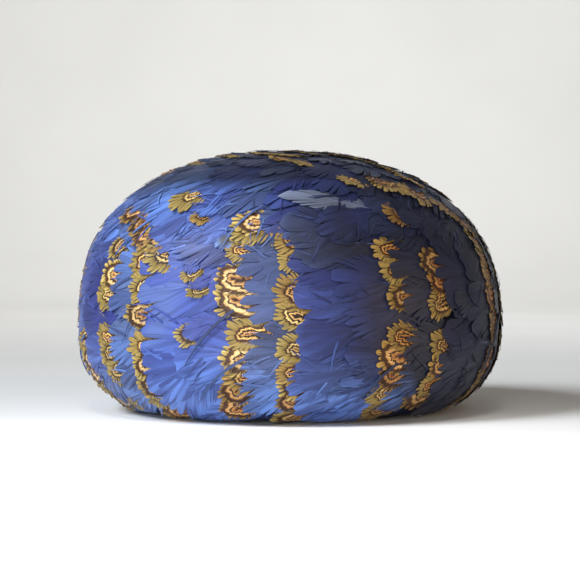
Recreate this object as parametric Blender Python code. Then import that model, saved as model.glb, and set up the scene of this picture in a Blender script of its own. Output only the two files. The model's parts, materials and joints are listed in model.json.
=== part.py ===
"""A domed feather hat: a hollow felt shell covered by courses of plumes and barred pheasant tips.

Metres, +Z up. The hat stands on its rim: the origin is the centre of the head opening, in the plane
that the rim rests on. The front faces -Y. Bearings are measured from the front towards +X.
"""

import math
from typing import NamedTuple

import bmesh
import bpy

# Outline of the feathered hat
HALF_WIDTH = 0.125  # at the widest level, side to side
CROWN_HEIGHT = 0.152
WIDEST_HEIGHT = 0.052
RIM_HALF_WIDTH = 0.091  # where the feathers' outer face meets the resting plane
CROWN_SQUARENESS = 2.3  # exponent of the oval curve above the widest level
UNDER_SQUARENESS = 2.6  # the same, below it
CROWN_OVAL = 1.045  # depth over width, above the widest level
RIM_OVAL = 1.146  # depth over width, at the rim
CROWN_LEAN = -0.003  # sideways shift of the crown's top

# Layers, measured inwards from the feathers' outer face
TIP_DEPTH = 0.0
ROOT_DEPTH = 0.0013
PLUME_BACK_DEPTH = 0.0022
SEAT_CLEARANCE = 0.0010
FELT_THICKNESS = 0.0020
RIM_SPREAD = 2.0  # how much wider each layer is stepped at the slanting rim
VALLEY_DEPTH = 0.0004  # how far the skin dips between two feathers
SEAM_GAP = 0.00035

# Feather courses: lines from the crown's whorl down to the rim
REPEATS = 9
FIRST_BEARING = math.radians(-17.0)  # leading edge of the first course
COURSE_ROWS = 32
COURSE_TOP_SHARE = 0.085  # share of the way from the crown's middle to the rim
COURSE_END_SHARE = 0.992
SWIRL = math.radians(34.0)  # how far the courses turn at the crown's middle
SWIRL_END_SHARE = 0.5
WAVE = math.radians(0.9)  # gentle wander of each course
WAVE_TURNS = 1.6

# Whorl of short feathers at the crown's middle
WHORL_LOBES = 9
WHORL_STEPS_PER_LOBE = 3
WHORL_EDGE_SHARE = 0.079
WHORL_LOBE_SHARE = 0.012
WHORL_RING_SHARES = (0.03, 0.055)

# Felt shell
FELT_ROWS = 13
FELT_COLUMNS = 32

PROFILE_SAMPLES = 200


class Course(NamedTuple):
    """One kind of feather course in the repeat, taken from its leading edge onwards."""

    name: str
    width_share: float  # of one repeat
    lobes: int  # feathers from the whorl to the rim
    lobe_share: float  # how far the feather tips reach, as a share of one repeat
    phase: float  # start of the first feather, in feathers
    columns: int  # faces across
    colour: tuple
    roughness: float


COURSES = (
    #      name               width  lobes  lobe   phase  cols  colour                roughness
    Course("pheasant_tips_a", 0.140, 16,    0.035, 0.0,   1,    (0.52, 0.33, 0.10), 0.55),
    Course("slate_plumes",    0.200, 8,     0.040, 0.25,  1,    (0.07, 0.11, 0.28), 0.50),
    Course("pheasant_tips_b", 0.140, 16,    0.035, 0.5,   1,    (0.52, 0.33, 0.10), 0.55),
    Course("blue_plumes",     0.520, 8,     0.050, 0.0,   2,    (0.04, 0.06, 0.36), 0.45),
)
FELT_COLOUR = (0.02, 0.022, 0.05)
FELT_ROUGHNESS = 0.9


def smooth_step(value):
    """0 to 1, level at both ends."""
    value = min(max(value, 0.0), 1.0)
    return value * value * (3.0 - 2.0 * value)


def under_drop(depth):
    """Height of the under curve's full oval, and the share of its quarter turn that ends at the rim."""
    half_width = HALF_WIDTH - depth
    rim = RIM_HALF_WIDTH - RIM_SPREAD * depth
    fall = (1.0 - (rim / half_width) ** UNDER_SQUARENESS) ** (1.0 / UNDER_SQUARENESS)
    return WIDEST_HEIGHT / fall, math.asin(fall ** (UNDER_SQUARENESS / 2.0))


def crown_curve(part, depth):
    """(half width, height) above the widest level, for part 0 at the crown's middle to 1 at the widest."""
    turn = math.pi / 2.0 * (1.0 - part)
    power = 2.0 / CROWN_SQUARENESS
    rise = CROWN_HEIGHT - depth - WIDEST_HEIGHT
    width = (HALF_WIDTH - depth) * max(math.cos(turn), 0.0) ** power
    return width, WIDEST_HEIGHT + rise * math.sin(turn) ** power


def under_curve(part, depth):
    """(half width, height) below the widest level, for part 0 at the widest to 1 at the rim."""
    drop, last_turn = under_drop(depth)
    turn = last_turn * part
    power = 2.0 / UNDER_SQUARENESS
    width = (HALF_WIDTH - depth) * math.cos(turn) ** power
    return width, WIDEST_HEIGHT - drop * math.sin(turn) ** power


def run_length(curve):
    """Length of one of the two curves, at the feathers' outer face."""
    points = [curve(i / PROFILE_SAMPLES, TIP_DEPTH) for i in range(PROFILE_SAMPLES + 1)]
    return sum(math.dist(a, b) for a, b in zip(points, points[1:]))


CROWN_RUN = run_length(crown_curve)
WIDEST_SHARE = CROWN_RUN / (CROWN_RUN + run_length(under_curve))


def hat_point(bearing, share, depth):
    """Point at a bearing, at a share of the way from the crown's middle to the rim, under the outer face."""
    if share <= WIDEST_SHARE:
        width, height = crown_curve(share / WIDEST_SHARE, depth)
        below = 0.0
    else:
        below = (share - WIDEST_SHARE) / (1.0 - WIDEST_SHARE)
        width, height = under_curve(below, depth)
    oval = CROWN_OVAL + (RIM_OVAL - CROWN_OVAL) * smooth_step(below)
    rise = max(height - WIDEST_HEIGHT, 0.0) / (CROWN_HEIGHT - WIDEST_HEIGHT)
    return (
        width * math.sin(bearing) + CROWN_LEAN * rise**2,
        -width * oval * math.cos(bearing),
        height,
    )


def half_width_at(share):
    """Half width of the outer face at a share of the way down."""
    if share <= WIDEST_SHARE:
        return crown_curve(share / WIDEST_SHARE, TIP_DEPTH)[0]
    return under_curve((share - WIDEST_SHARE) / (1.0 - WIDEST_SHARE), TIP_DEPTH)[0]


def row_share(row):
    """Share of the way down of one row of a course."""
    return COURSE_TOP_SHARE + (COURSE_END_SHARE - COURSE_TOP_SHARE) * row / COURSE_ROWS


def lobe(course, row):
    """0 in the valley between two feathers of a course, 1 at a feather's tip."""
    place = (course.lobes * row / COURSE_ROWS + course.phase) % 1.0
    return 4.0 * place * (1.0 - place)


def leading_edge(repeat, index, row):
    """Bearing of a course's leading edge, where its feather tips lie, at one row."""
    pitch = 2.0 * math.pi / REPEATS
    course = COURSES[index % len(COURSES)]
    repeat += index // len(COURSES)
    start = sum(c.width_share for c in COURSES[: index % len(COURSES)])
    share = row_share(row)
    swirl = SWIRL * max(1.0 - share / SWIRL_END_SHARE, 0.0) ** 2
    wave = WAVE * math.sin(2.0 * math.pi * (WAVE_TURNS * share + repeat / REPEATS))
    reach = course.lobe_share * pitch * lobe(course, row)
    return FIRST_BEARING + pitch * (repeat + start) + swirl + wave - reach


def link_object(name, mesh, colour, roughness):
    """Puts a finished mesh in the scene under a name, with a material of its own."""
    material = bpy.data.materials.new(name)
    material.use_nodes = True
    shader = material.node_tree.nodes["Principled BSDF"]
    shader.inputs["Base Color"].default_value = (*colour, 1.0)
    shader.inputs["Roughness"].default_value = roughness
    shader.inputs["Metallic"].default_value = 0.0
    mesh.materials.append(material)
    mesh.shade_smooth()
    mesh.set_sharp_from_angle(angle=math.radians(35.0))
    thing = bpy.data.objects.new(name, mesh)
    bpy.context.scene.collection.objects.link(thing)
    return thing


def finish_mesh(name, work):
    """Turns a bmesh with closed skin into a mesh whose faces point out."""
    bmesh.ops.recalc_face_normals(work, faces=work.faces)
    mesh = bpy.data.meshes.new(name)
    work.to_mesh(mesh)
    work.free()
    return mesh


def bridge_rings(work, first, second):
    """Joins two closed rings of as many points by a band of faces."""
    count = len(first)
    for i in range(count):
        j = (i + 1) % count
        work.faces.new((first[i], first[j], second[j], second[i]))


def felt_skin(work, depth):
    """One skin of the felt shell, from a point at the crown's middle to the ring at the rim."""
    top = work.verts.new(hat_point(0.0, 0.0, depth))
    above = None
    for row in range(1, FELT_ROWS + 1):
        ring = [
            work.verts.new(hat_point(2.0 * math.pi * i / FELT_COLUMNS, row / FELT_ROWS, depth))
            for i in range(FELT_COLUMNS)
        ]
        if above is None:
            for i, vert in enumerate(ring):
                work.faces.new((top, vert, ring[(i + 1) % FELT_COLUMNS]))
        else:
            bridge_rings(work, above, ring)
        above = ring
    return above


def felt_shell():
    """The hollow felt shell that carries the feathers, open at the head."""
    work = bmesh.new()
    outer = PLUME_BACK_DEPTH + SEAT_CLEARANCE
    bridge_rings(work, felt_skin(work, outer), felt_skin(work, outer + FELT_THICKNESS))
    return link_object("felt_shell", finish_mesh("felt_shell", work), FELT_COLOUR, FELT_ROUGHNESS)


def course_section(work, repeat, index, row):
    """The closed ring of points across a course at one row: its back, then its outer face."""
    course = COURSES[index]
    share = row_share(row)
    gap = SEAM_GAP / half_width_at(share)
    first = leading_edge(repeat, index, row)
    last = leading_edge(repeat, index + 1, row) - gap
    valley = VALLEY_DEPTH * (1.0 - lobe(course, row))
    back, face = [], []
    for column in range(course.columns + 1):
        across = column / course.columns
        bearing = first + (last - first) * across
        depth = TIP_DEPTH + (ROOT_DEPTH - TIP_DEPTH) * across**2 + valley * (1.0 - across)
        back.append(work.verts.new(hat_point(bearing, share, PLUME_BACK_DEPTH)))
        face.append(work.verts.new(hat_point(bearing, share, depth)))
    return back + face[::-1]


def cap_section(work, ring):
    """Closes a course's end with a face for each column."""
    across = len(ring) // 2
    for i in range(across - 1):
        work.faces.new((ring[i], ring[i + 1], ring[-2 - i], ring[-1 - i]))


def feather_course(repeat, index):
    """One course of overlapping feathers, with its tips along the leading edge."""
    course = COURSES[index]
    name = f"{course.name}_{repeat + 1}"
    work = bmesh.new()
    rings = [course_section(work, repeat, index, row) for row in range(COURSE_ROWS + 1)]
    for above, below in zip(rings, rings[1:]):
        bridge_rings(work, above, below)
    cap_section(work, rings[0])
    cap_section(work, rings[-1])
    return link_object(name, finish_mesh(name, work), course.colour, course.roughness)


def whorl_ring(work, depth, share, lobe_share):
    """One ring of the whorl, scalloped by its share of the feathers' reach."""
    steps = WHORL_LOBES * WHORL_STEPS_PER_LOBE
    ring = []
    for i in range(steps):
        place = (i / WHORL_STEPS_PER_LOBE) % 1.0
        reach = share - lobe_share * (1.0 - 4.0 * place * (1.0 - place))
        ring.append(work.verts.new(hat_point(2.0 * math.pi * i / steps, reach, depth)))
    return ring


def crown_whorl():
    """The small whorl of feathers that closes the crown's middle, where the courses meet."""
    work = bmesh.new()
    skins = []
    for depth in (PLUME_BACK_DEPTH, TIP_DEPTH):
        middle = work.verts.new(hat_point(0.0, 0.0, depth))
        above = whorl_ring(work, depth, WHORL_RING_SHARES[0], 0.0)
        for i, vert in enumerate(above):
            work.faces.new((middle, vert, above[(i + 1) % len(above)]))
        for share in WHORL_RING_SHARES[1:]:
            ring = whorl_ring(work, depth, share, 0.0)
            bridge_rings(work, above, ring)
            above = ring
        edge = whorl_ring(work, depth, WHORL_EDGE_SHARE, WHORL_LOBE_SHARE)
        bridge_rings(work, above, edge)
        skins.append(edge)
    bridge_rings(work, *skins)
    plume = COURSES[-1]
    return link_object("crown_whorl", finish_mesh("crown_whorl", work), plume.colour, plume.roughness)


def main():
    """Clears the scene and builds the hat."""
    for thing in list(bpy.data.objects):
        bpy.data.objects.remove(thing)
    felt_shell()
    crown_whorl()
    for repeat in range(REPEATS):
        for index in range(len(COURSES)):
            feather_course(repeat, index)


main()
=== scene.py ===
"""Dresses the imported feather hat: blue plumes and barred pheasant tips laid over its felt shell.

Metres, +Z up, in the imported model's frame. The front faces -Y. A bearing is measured from the front
towards +X, and a share is the part of the way from the crown's middle down to the rim. Feathers lie
round the hat with their tips towards lower bearings, clockwise as seen from above.
"""

import json
import logging
import math
from collections.abc import Iterable, Sequence
from dataclasses import dataclass
from enum import Enum
from typing import Any

import bpy
import numpy as np
from mathutils import Matrix, Vector

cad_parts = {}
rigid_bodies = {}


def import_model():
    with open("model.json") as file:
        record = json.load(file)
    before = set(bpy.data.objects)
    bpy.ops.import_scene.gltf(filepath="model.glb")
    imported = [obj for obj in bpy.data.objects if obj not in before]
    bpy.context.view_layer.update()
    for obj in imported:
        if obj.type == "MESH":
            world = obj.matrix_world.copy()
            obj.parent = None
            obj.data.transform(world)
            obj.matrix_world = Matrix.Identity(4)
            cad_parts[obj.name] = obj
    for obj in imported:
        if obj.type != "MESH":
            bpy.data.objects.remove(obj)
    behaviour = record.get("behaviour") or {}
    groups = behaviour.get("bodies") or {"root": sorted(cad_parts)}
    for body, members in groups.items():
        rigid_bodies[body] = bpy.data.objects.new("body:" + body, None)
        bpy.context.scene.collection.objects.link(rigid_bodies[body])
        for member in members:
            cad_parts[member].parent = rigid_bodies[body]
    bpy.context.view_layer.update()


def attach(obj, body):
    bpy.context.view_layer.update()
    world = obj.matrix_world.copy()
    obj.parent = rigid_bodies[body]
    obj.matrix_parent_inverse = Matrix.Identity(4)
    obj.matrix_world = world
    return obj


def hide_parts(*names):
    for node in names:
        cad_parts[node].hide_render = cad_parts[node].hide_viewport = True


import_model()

LOG = logging.getLogger("feather_hat")
BODY = "root"
VANE_MAP = "vane"  # across: where a barb leaves the shaft; up: how far out along it
TONE = "tone"  # one random number for each feather
GRAIN = "grain"  # another, which moves its pattern
PLUMP = "plump"  # 0 at the edges of a tuft, 1 in its middle, 2 on a stray barb
BAKE_MAP = "OFBake"  # one cell of the map for each feather of a piece
CELL_LENGTH = (0.05, 0.90)  # where a feather starts in its cell, and how far it runs
CELL_FACE = (0.16, 0.80)  # the same across it, for its face
CELL_BACK = (0.03, 0.08)  # and for its back
Colour = tuple[float, float, float]
Place = tuple[float, float, float]


class Wiring:
    """Adds and joins the nodes of one shader or geometry tree."""

    def __init__(self, tree: bpy.types.NodeTree) -> None:
        """Keeps the tree.

        Args:
            tree: The tree that gets the nodes.
        """
        self.tree = tree

    def feed(self, socket: bpy.types.NodeSocket, value: Any) -> None:
        """Gives an input a value, or joins another node's output to it.

        Args:
            socket: The input.
            value: The value or the output.
        """
        if isinstance(value, bpy.types.NodeSocket):
            self.tree.links.new(value, socket)
        else:
            socket.default_value = value

    def fill(self, node: Any, inputs: dict[Any, Any]) -> None:
        """Feeds several of a node's inputs, given by their names or places."""
        for key, value in inputs.items():
            self.feed(node.inputs[key], value)

    def add(self, kind: str, inputs: dict[Any, Any] | None = None, **settings: Any) -> Any:
        """Adds a node.

        Args:
            kind: Blender's name for the node's type.
            inputs: A value or another node's output for each input, by its name or place.
            **settings: The node's own properties.

        Returns:
            The new node.
        """
        node = self.tree.nodes.new(kind)
        for name, value in settings.items():
            setattr(node, name, value)
        self.fill(node, inputs or {})
        return node

    def math(self, operation: str, *values: Any, clamp: bool = False) -> Any:
        """Adds a Math node.

        Args:
            operation: Blender's name for what it works out.
            *values: Its numbers or sockets, in order.
            clamp: Whether the answer is kept between 0 and 1.

        Returns:
            The answer's socket.
        """
        settings = {"operation": operation, "use_clamp": clamp}
        return self.add("ShaderNodeMath", dict(enumerate(values)), **settings).outputs[0]

    def times(self, first: Any, second: Any) -> Any:
        """The socket of two numbers' product."""
        return self.math("MULTIPLY", first, second)

    def plus(self, first: Any, second: Any) -> Any:
        """The socket of two numbers' sum."""
        return self.math("ADD", first, second)

    def vector_math(self, operation: str, first: Any, second: Any = None) -> Any:
        """Adds a Vector Math node.

        Args:
            operation: Blender's name for what it works out.
            first: Its first vector or socket.
            second: Its second one, or its scale.

        Returns:
            The answer's socket.
        """
        inputs = {0: first}
        if second is not None:
            inputs["Scale" if operation == "SCALE" else 1] = second
        return self.add("ShaderNodeVectorMath", inputs, operation=operation).outputs[0]

    def mix(self, factor: Any, first: Any, second: Any, blend: str = "MIX") -> Any:
        """Adds a colour Mix node.

        Args:
            factor: How much of the second colour shows.
            first: The colour or socket at 0.
            second: The colour or socket at 1.
            blend: Blender's name for the way of mixing.

        Returns:
            The mixed colour's socket.
        """
        node = self.add("ShaderNodeMix", data_type="RGBA", blend_type=blend)
        for place, value in ((0, factor), (6, first), (7, second)):
            plain = place > 0 and not isinstance(value, bpy.types.NodeSocket)
            self.feed(node.inputs[place], (*value, 1.0) if plain else value)
        return node.outputs[2]

    def ramp(self, factor: Any, stops: Sequence[tuple[float, Colour]], way: str = "LINEAR") -> Any:
        """Adds a Color Ramp.

        Args:
            factor: The socket that picks the colour.
            stops: The place and colour of each stop.
            way: How it passes from one stop to the next.

        Returns:
            The colour's socket.
        """
        node = self.add("ShaderNodeValToRGB", {"Fac": factor})
        node.color_ramp.interpolation = way
        points = node.color_ramp.elements
        points[0].position, points[0].color = stops[0][0], (*stops[0][1], 1.0)
        points[1].position, points[1].color = stops[-1][0], (*stops[-1][1], 1.0)
        for place, colour in stops[1:-1]:
            points.new(place).color = (*colour, 1.0)
        return node.outputs["Color"]

    def grey(self, value: Any) -> Any:
        """Makes a grey colour of a number and returns its socket."""
        return self.add("ShaderNodeCombineColor", {0: value, 1: value, 2: value}).outputs[0]

    def spread(
        self, value: Any, low: float, high: float, to_low: float = 0.0, to_high: float = 1.0
    ) -> Any:
        """Maps a value from one range to another, kept inside it, and returns its socket."""
        node = self.add("ShaderNodeMapRange", {0: value, 1: low, 2: high, 3: to_low, 4: to_high})
        return node.outputs[0]

    def attribute(self, name: str) -> Any:
        """The socket of an attribute's number, in a material."""
        return self.add("ShaderNodeAttribute", attribute_name=name).outputs["Fac"]

    def noise(self, spot: Any, scale: Any, detail: float = 2.0, roughness: float = 0.5) -> Any:
        """Adds a Noise Texture.

        Args:
            spot: The socket of the place where it is read.
            scale: How many patches it has in a unit.
            detail: How many finer layers it has.
            roughness: How strong those are.

        Returns:
            The socket of its number.
        """
        inputs = {"Vector": spot, "Scale": scale, "Detail": detail, "Roughness": roughness}
        return self.add("ShaderNodeTexNoise", inputs).outputs[0]

    @staticmethod
    def shown(sockets: Iterable[Any], name: str) -> Any:
        """The socket of this name that the node's settings show."""
        return next(socket for socket in sockets if socket.enabled and socket.name == name)


def new_group(name: str, kind: str, inputs: dict[str, str], outputs: dict[str, str]) -> Any:
    """Starts a node group.

    Args:
        name: Its name.
        kind: Blender's name for its type of tree.
        inputs: The type of each input, by its name.
        outputs: The type of each output, by its name.

    Returns:
        The empty group.
    """
    group = bpy.data.node_groups.new(name, kind)
    for way, sockets in (("INPUT", inputs), ("OUTPUT", outputs)):
        for label, socket in sockets.items():
            group.interface.new_socket(name=label, in_out=way, socket_type=f"NodeSocket{socket}")
    return group


def show(thing: bpy.types.Object) -> None:
    """Puts an object in the scene."""
    bpy.context.scene.collection.objects.link(thing)


def delete(thing: bpy.types.Object) -> None:
    """Deletes an object and its mesh.

    Args:
        thing: The object.
    """
    mesh = thing.data
    bpy.data.objects.remove(thing)
    bpy.data.meshes.remove(mesh)


def round_faces(columns: int, rows: int) -> list[tuple[int, ...]]:
    """Faces of a round skin whose points are its middle one and then ring after ring.

    Args:
        columns: How many points a ring has.
        rows: How many rings there are.

    Returns:
        The faces, column by column.
    """
    faces: list[tuple[int, ...]] = []
    for i in range(columns):
        j = (i + 1) % columns
        faces.append((0, 1 + i, 1 + j))
        for row in range(rows - 1):
            above = 1 + row * columns
            below = above + columns
            faces.append((above + i, below + i, below + j, above + j))
    return faces


@dataclass(frozen=True)
class HatForm:
    """The form of the feathered hat, by the same rules as its solids."""

    half_width: float = 0.125
    crown_height: float = 0.152
    widest_height: float = 0.052
    rim_half_width: float = 0.091
    crown_squareness: float = 2.3
    under_squareness: float = 2.6
    crown_oval: float = 1.045
    rim_oval: float = 1.146
    crown_lean: float = -0.003
    rim_spread: float = 2.0
    samples: int = 200

    def under_drop(self, depth: float) -> tuple[float, float]:
        """How the lower curve runs down to the resting plane.

        Args:
            depth: How far in from the feathers' outer face.

        Returns:
            Its half height and the turn at which it meets the plane.
        """
        half_width = self.half_width - depth
        rim = self.rim_half_width - self.rim_spread * depth
        power = self.under_squareness
        fall = (1.0 - (rim / half_width) ** power) ** (1.0 / power)
        return self.widest_height / fall, math.asin(fall ** (power / 2.0))

    def crown_curve(self, part: float, depth: float) -> tuple[float, float]:
        """Half width and height on the upper curve.

        Args:
            part: 0 at the crown's middle, 1 at the widest level.
            depth: How far in from the feathers' outer face.

        Returns:
            The half width and the height.
        """
        turn = math.pi / 2.0 * (1.0 - part)
        power = 2.0 / self.crown_squareness
        rise = self.crown_height - depth - self.widest_height
        width = (self.half_width - depth) * max(math.cos(turn), 0.0) ** power
        return width, self.widest_height + rise * math.sin(turn) ** power

    def under_curve(self, part: float, depth: float) -> tuple[float, float]:
        """Half width and height on the lower curve.

        Args:
            part: 0 at the widest level, 1 at the rim.
            depth: How far in from the feathers' outer face.

        Returns:
            The half width and the height.
        """
        drop, last_turn = self.under_drop(depth)
        turn = last_turn * part
        power = 2.0 / self.under_squareness
        width = (self.half_width - depth) * math.cos(turn) ** power
        return width, self.widest_height - drop * math.sin(turn) ** power

    def run_length(self, curve: Any) -> float:
        """The length of one of the two curves, on the outer face."""
        points = [curve(i / self.samples, 0.0) for i in range(self.samples + 1)]
        return sum(math.dist(a, b) for a, b in zip(points, points[1:]))

    def widest_share(self) -> float:
        """The share of the way down at which the hat is widest."""
        crown = self.run_length(self.crown_curve)
        return crown / (crown + self.run_length(self.under_curve))

    def total_run(self) -> float:
        """The length of the whole way from the crown's middle to the rim, at the side."""
        return self.run_length(self.crown_curve) + self.run_length(self.under_curve)


FORM = HatForm()
WIDEST_SHARE = FORM.widest_share()
TOTAL_RUN = FORM.total_run()


def smooth_step(value: float) -> float:
    """Eases from 0 to 1 with level ends."""
    value = min(max(value, 0.0), 1.0)
    return value * value * (3.0 - 2.0 * value)


def place_on(bearing: float, width: float, height: float) -> Vector:
    """The point of the hat at a bearing whose section has this half width and height.

    Args:
        bearing: In radians.
        width: Half width of the section there.
        height: Height above the resting plane.

    Returns:
        The point, in metres.
    """
    below = max(FORM.widest_height - height, 0.0) / FORM.widest_height
    oval = FORM.crown_oval + (FORM.rim_oval - FORM.crown_oval) * smooth_step(below)
    rise = max(height - FORM.widest_height, 0.0) / (FORM.crown_height - FORM.widest_height)
    side = width * math.sin(bearing) + FORM.crown_lean * rise**2
    return Vector((side, -width * oval * math.cos(bearing), height))


def section_at(share: float, depth: float = 0.0) -> tuple[float, float]:
    """The half width and height at a share of the way down.

    Args:
        share: The share.
        depth: How far in from the feathers' outer face.

    Returns:
        The half width and the height.
    """
    if share <= WIDEST_SHARE:
        return FORM.crown_curve(share / WIDEST_SHARE, depth)
    return FORM.under_curve(min((share - WIDEST_SHARE) / (1.0 - WIDEST_SHARE), 1.0), depth)


def hat_point(bearing: float, share: float, depth: float = 0.0) -> Vector:
    """The point at a bearing and a share of the way down, on the outer face or a depth inside it."""
    return place_on(bearing, *section_at(share, depth))


def directions_at(bearing: float, share: float) -> tuple[Vector, Vector, Vector]:
    """Unit directions on the hat's face.

    Args:
        bearing: In radians.
        share: The share of the way down.

    Returns:
        The directions round it with the bearing, down it, and out of it.
    """
    step = 1e-3
    inside = min(max(share, 2.0 * step), 1.0 - 2.0 * step)
    around = hat_point(bearing + step, inside) - hat_point(bearing - step, inside)
    down = hat_point(bearing, inside + step) - hat_point(bearing, inside - step)
    around.normalize()
    outward = down.cross(around).normalized()
    return around, around.cross(outward).normalized(), outward


class Course(Enum):
    """The four courses of each repeat, from lower bearings to higher ones."""

    BARRED_A = "pheasant_tips_a"
    SLATE = "slate_plumes"
    BARRED_B = "pheasant_tips_b"
    BLUE = "blue_plumes"


@dataclass(frozen=True)
class CoursePlan:
    """Where the courses run, by the same rules as their solids."""

    repeats: int = 9
    first_bearing: float = math.radians(-17.0)
    top_share: float = 0.085
    end_share: float = 0.992
    swirl: float = math.radians(34.0)
    swirl_end_share: float = 0.5
    wave: float = math.radians(0.9)
    wave_turns: float = 1.6
    width_shares: tuple[float, ...] = (0.140, 0.200, 0.140, 0.520)

    @property
    def pitch(self) -> float:
        """The angle of one repeat."""
        return 2.0 * math.pi / self.repeats

    def start(self, course: Course) -> float:
        """Where in its repeat a course begins, from 0 to 1."""
        return sum(self.width_shares[: list(Course).index(course)])

    def row_share(self, row: int, rows: int, phase: float) -> float:
        """The share of the way down of one of so many rows, moved by a phase over their pitch."""
        return self.top_share + (self.end_share - self.top_share) * (row + 0.5 - phase) / rows

    def edge(self, repeat: float, within: float, share: float) -> float:
        """The bearing of a line down the hat.

        Args:
            repeat: The repeat, counted from 0.
            within: Where in the repeat the line lies, from 0 to 1.
            share: The share of the way down.

        Returns:
            The bearing, in radians.
        """
        swirl = self.swirl * max(1.0 - share / self.swirl_end_share, 0.0) ** 2
        wave = self.wave * math.sin(2.0 * math.pi * (self.wave_turns * share + repeat / self.repeats))
        return self.first_bearing + self.pitch * (repeat + within) + swirl + wave


PLAN = CoursePlan()


@dataclass(frozen=True)
class Vane:
    """The form of one kind of feather, in metres, as cut and laid flat with its tip at the origin."""

    name: str
    length: float
    half_width: float
    tip_length: float  # how far back the vane reaches its full width
    tip_squareness: float
    fan_length: float  # from the shaft's end to the tip
    sweep: float  # how far forward a side barb reaches, over how far out it reaches
    shown: float  # how far back the barbs are cut into tufts
    tufts: int  # on each side
    levels: tuple[float, ...]  # places of the points along a barb
    root_width: float = 0.55  # over the full width
    split_chance: float = 1.0  # of a parting between two tufts
    split_depths: tuple[float, float] = (0.25, 0.55)  # over a barb's length
    pinch: float = 0.36  # how far a parted tuft narrows at its end, over its width
    point: float = 0.10  # how far a parted tuft's corners draw back, over a barb's length
    ragged: float = 0.08  # how unevenly the tufts end, over a barb's length
    slope: float = 0.060  # how fast it sinks towards its root
    roll: float = 0.016  # how much its upper edge lies under its neighbour
    camber: float = 0.00030  # how far its edges lie below its middle
    ridge: float = 0.00010  # height of a tuft's middle over its edges
    flutter: float = 0.00028  # how far single tufts lift
    shaft_height: float = 0.00020
    shaft_reach: float = 0.07  # how far out the shaft's ridge runs, over a barb's length
    pull: tuple[float, float] = (0.36, 0.62)  # where a barb bends, along and across it
    lean: float = 0.12  # how far the tip may lean aside, over the half width
    uneven: tuple[float, float] = (0.7, 1.3)  # the tufts' widths, over their mean
    thickness: float = 0.00020
    variants: int = 10

    def outline(self, steps: int = 160) -> np.ndarray:
        """Points of one side of the outline.

        Args:
            steps: How many there are round the tip, and twice those down the side.

        Returns:
            The points, from the root to the tip.
        """
        root = np.linspace(0.0, 1.0, steps // 2, endpoint=False)[:, None]
        back = (1.0 - root) ** 2
        side = np.hstack((
            -self.length + (self.length - self.tip_length) * root,
            self.half_width * (1.0 - (1.0 - self.root_width) * back),
        ))
        turn = np.linspace(0.0, math.pi / 2.0, steps)[:, None]
        power = 2.0 / self.tip_squareness
        tip = np.hstack((
            -self.tip_length * (1.0 - np.sin(turn) ** power),
            self.half_width * np.clip(np.cos(turn), 0.0, 1.0) ** power,
        ))
        return np.vstack((side, tip))

    def barb_point(self, end: np.ndarray, part: float) -> np.ndarray:
        """A point on the barb that ends at a point of the outline.

        Args:
            end: The outline's point.
            part: 0 at the shaft, 1 at the outline, more beyond it.

        Returns:
            The point on the flat feather.
        """
        wide = abs(end[1]) / self.half_width
        reach = self.fan_length * (1.0 - wide) + self.sweep * self.half_width * wide
        start = np.array((max(end[0] - reach, -self.length), 0.0))
        bend = np.array((start[0] + self.pull[0] * (end[0] - start[0]), self.pull[1] * end[1]))
        return (1.0 - part) ** 2 * start + 2.0 * part * (1.0 - part) * bend + part**2 * end


@dataclass
class Edge:
    """The line between two neighbouring tufts."""

    station: float  # its place along the outline
    split: float  # where the tufts part, as a part of the barbs' length

    @property
    def parted(self) -> bool:
        """Whether the tufts part at all."""
        return self.split < 1.0


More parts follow.
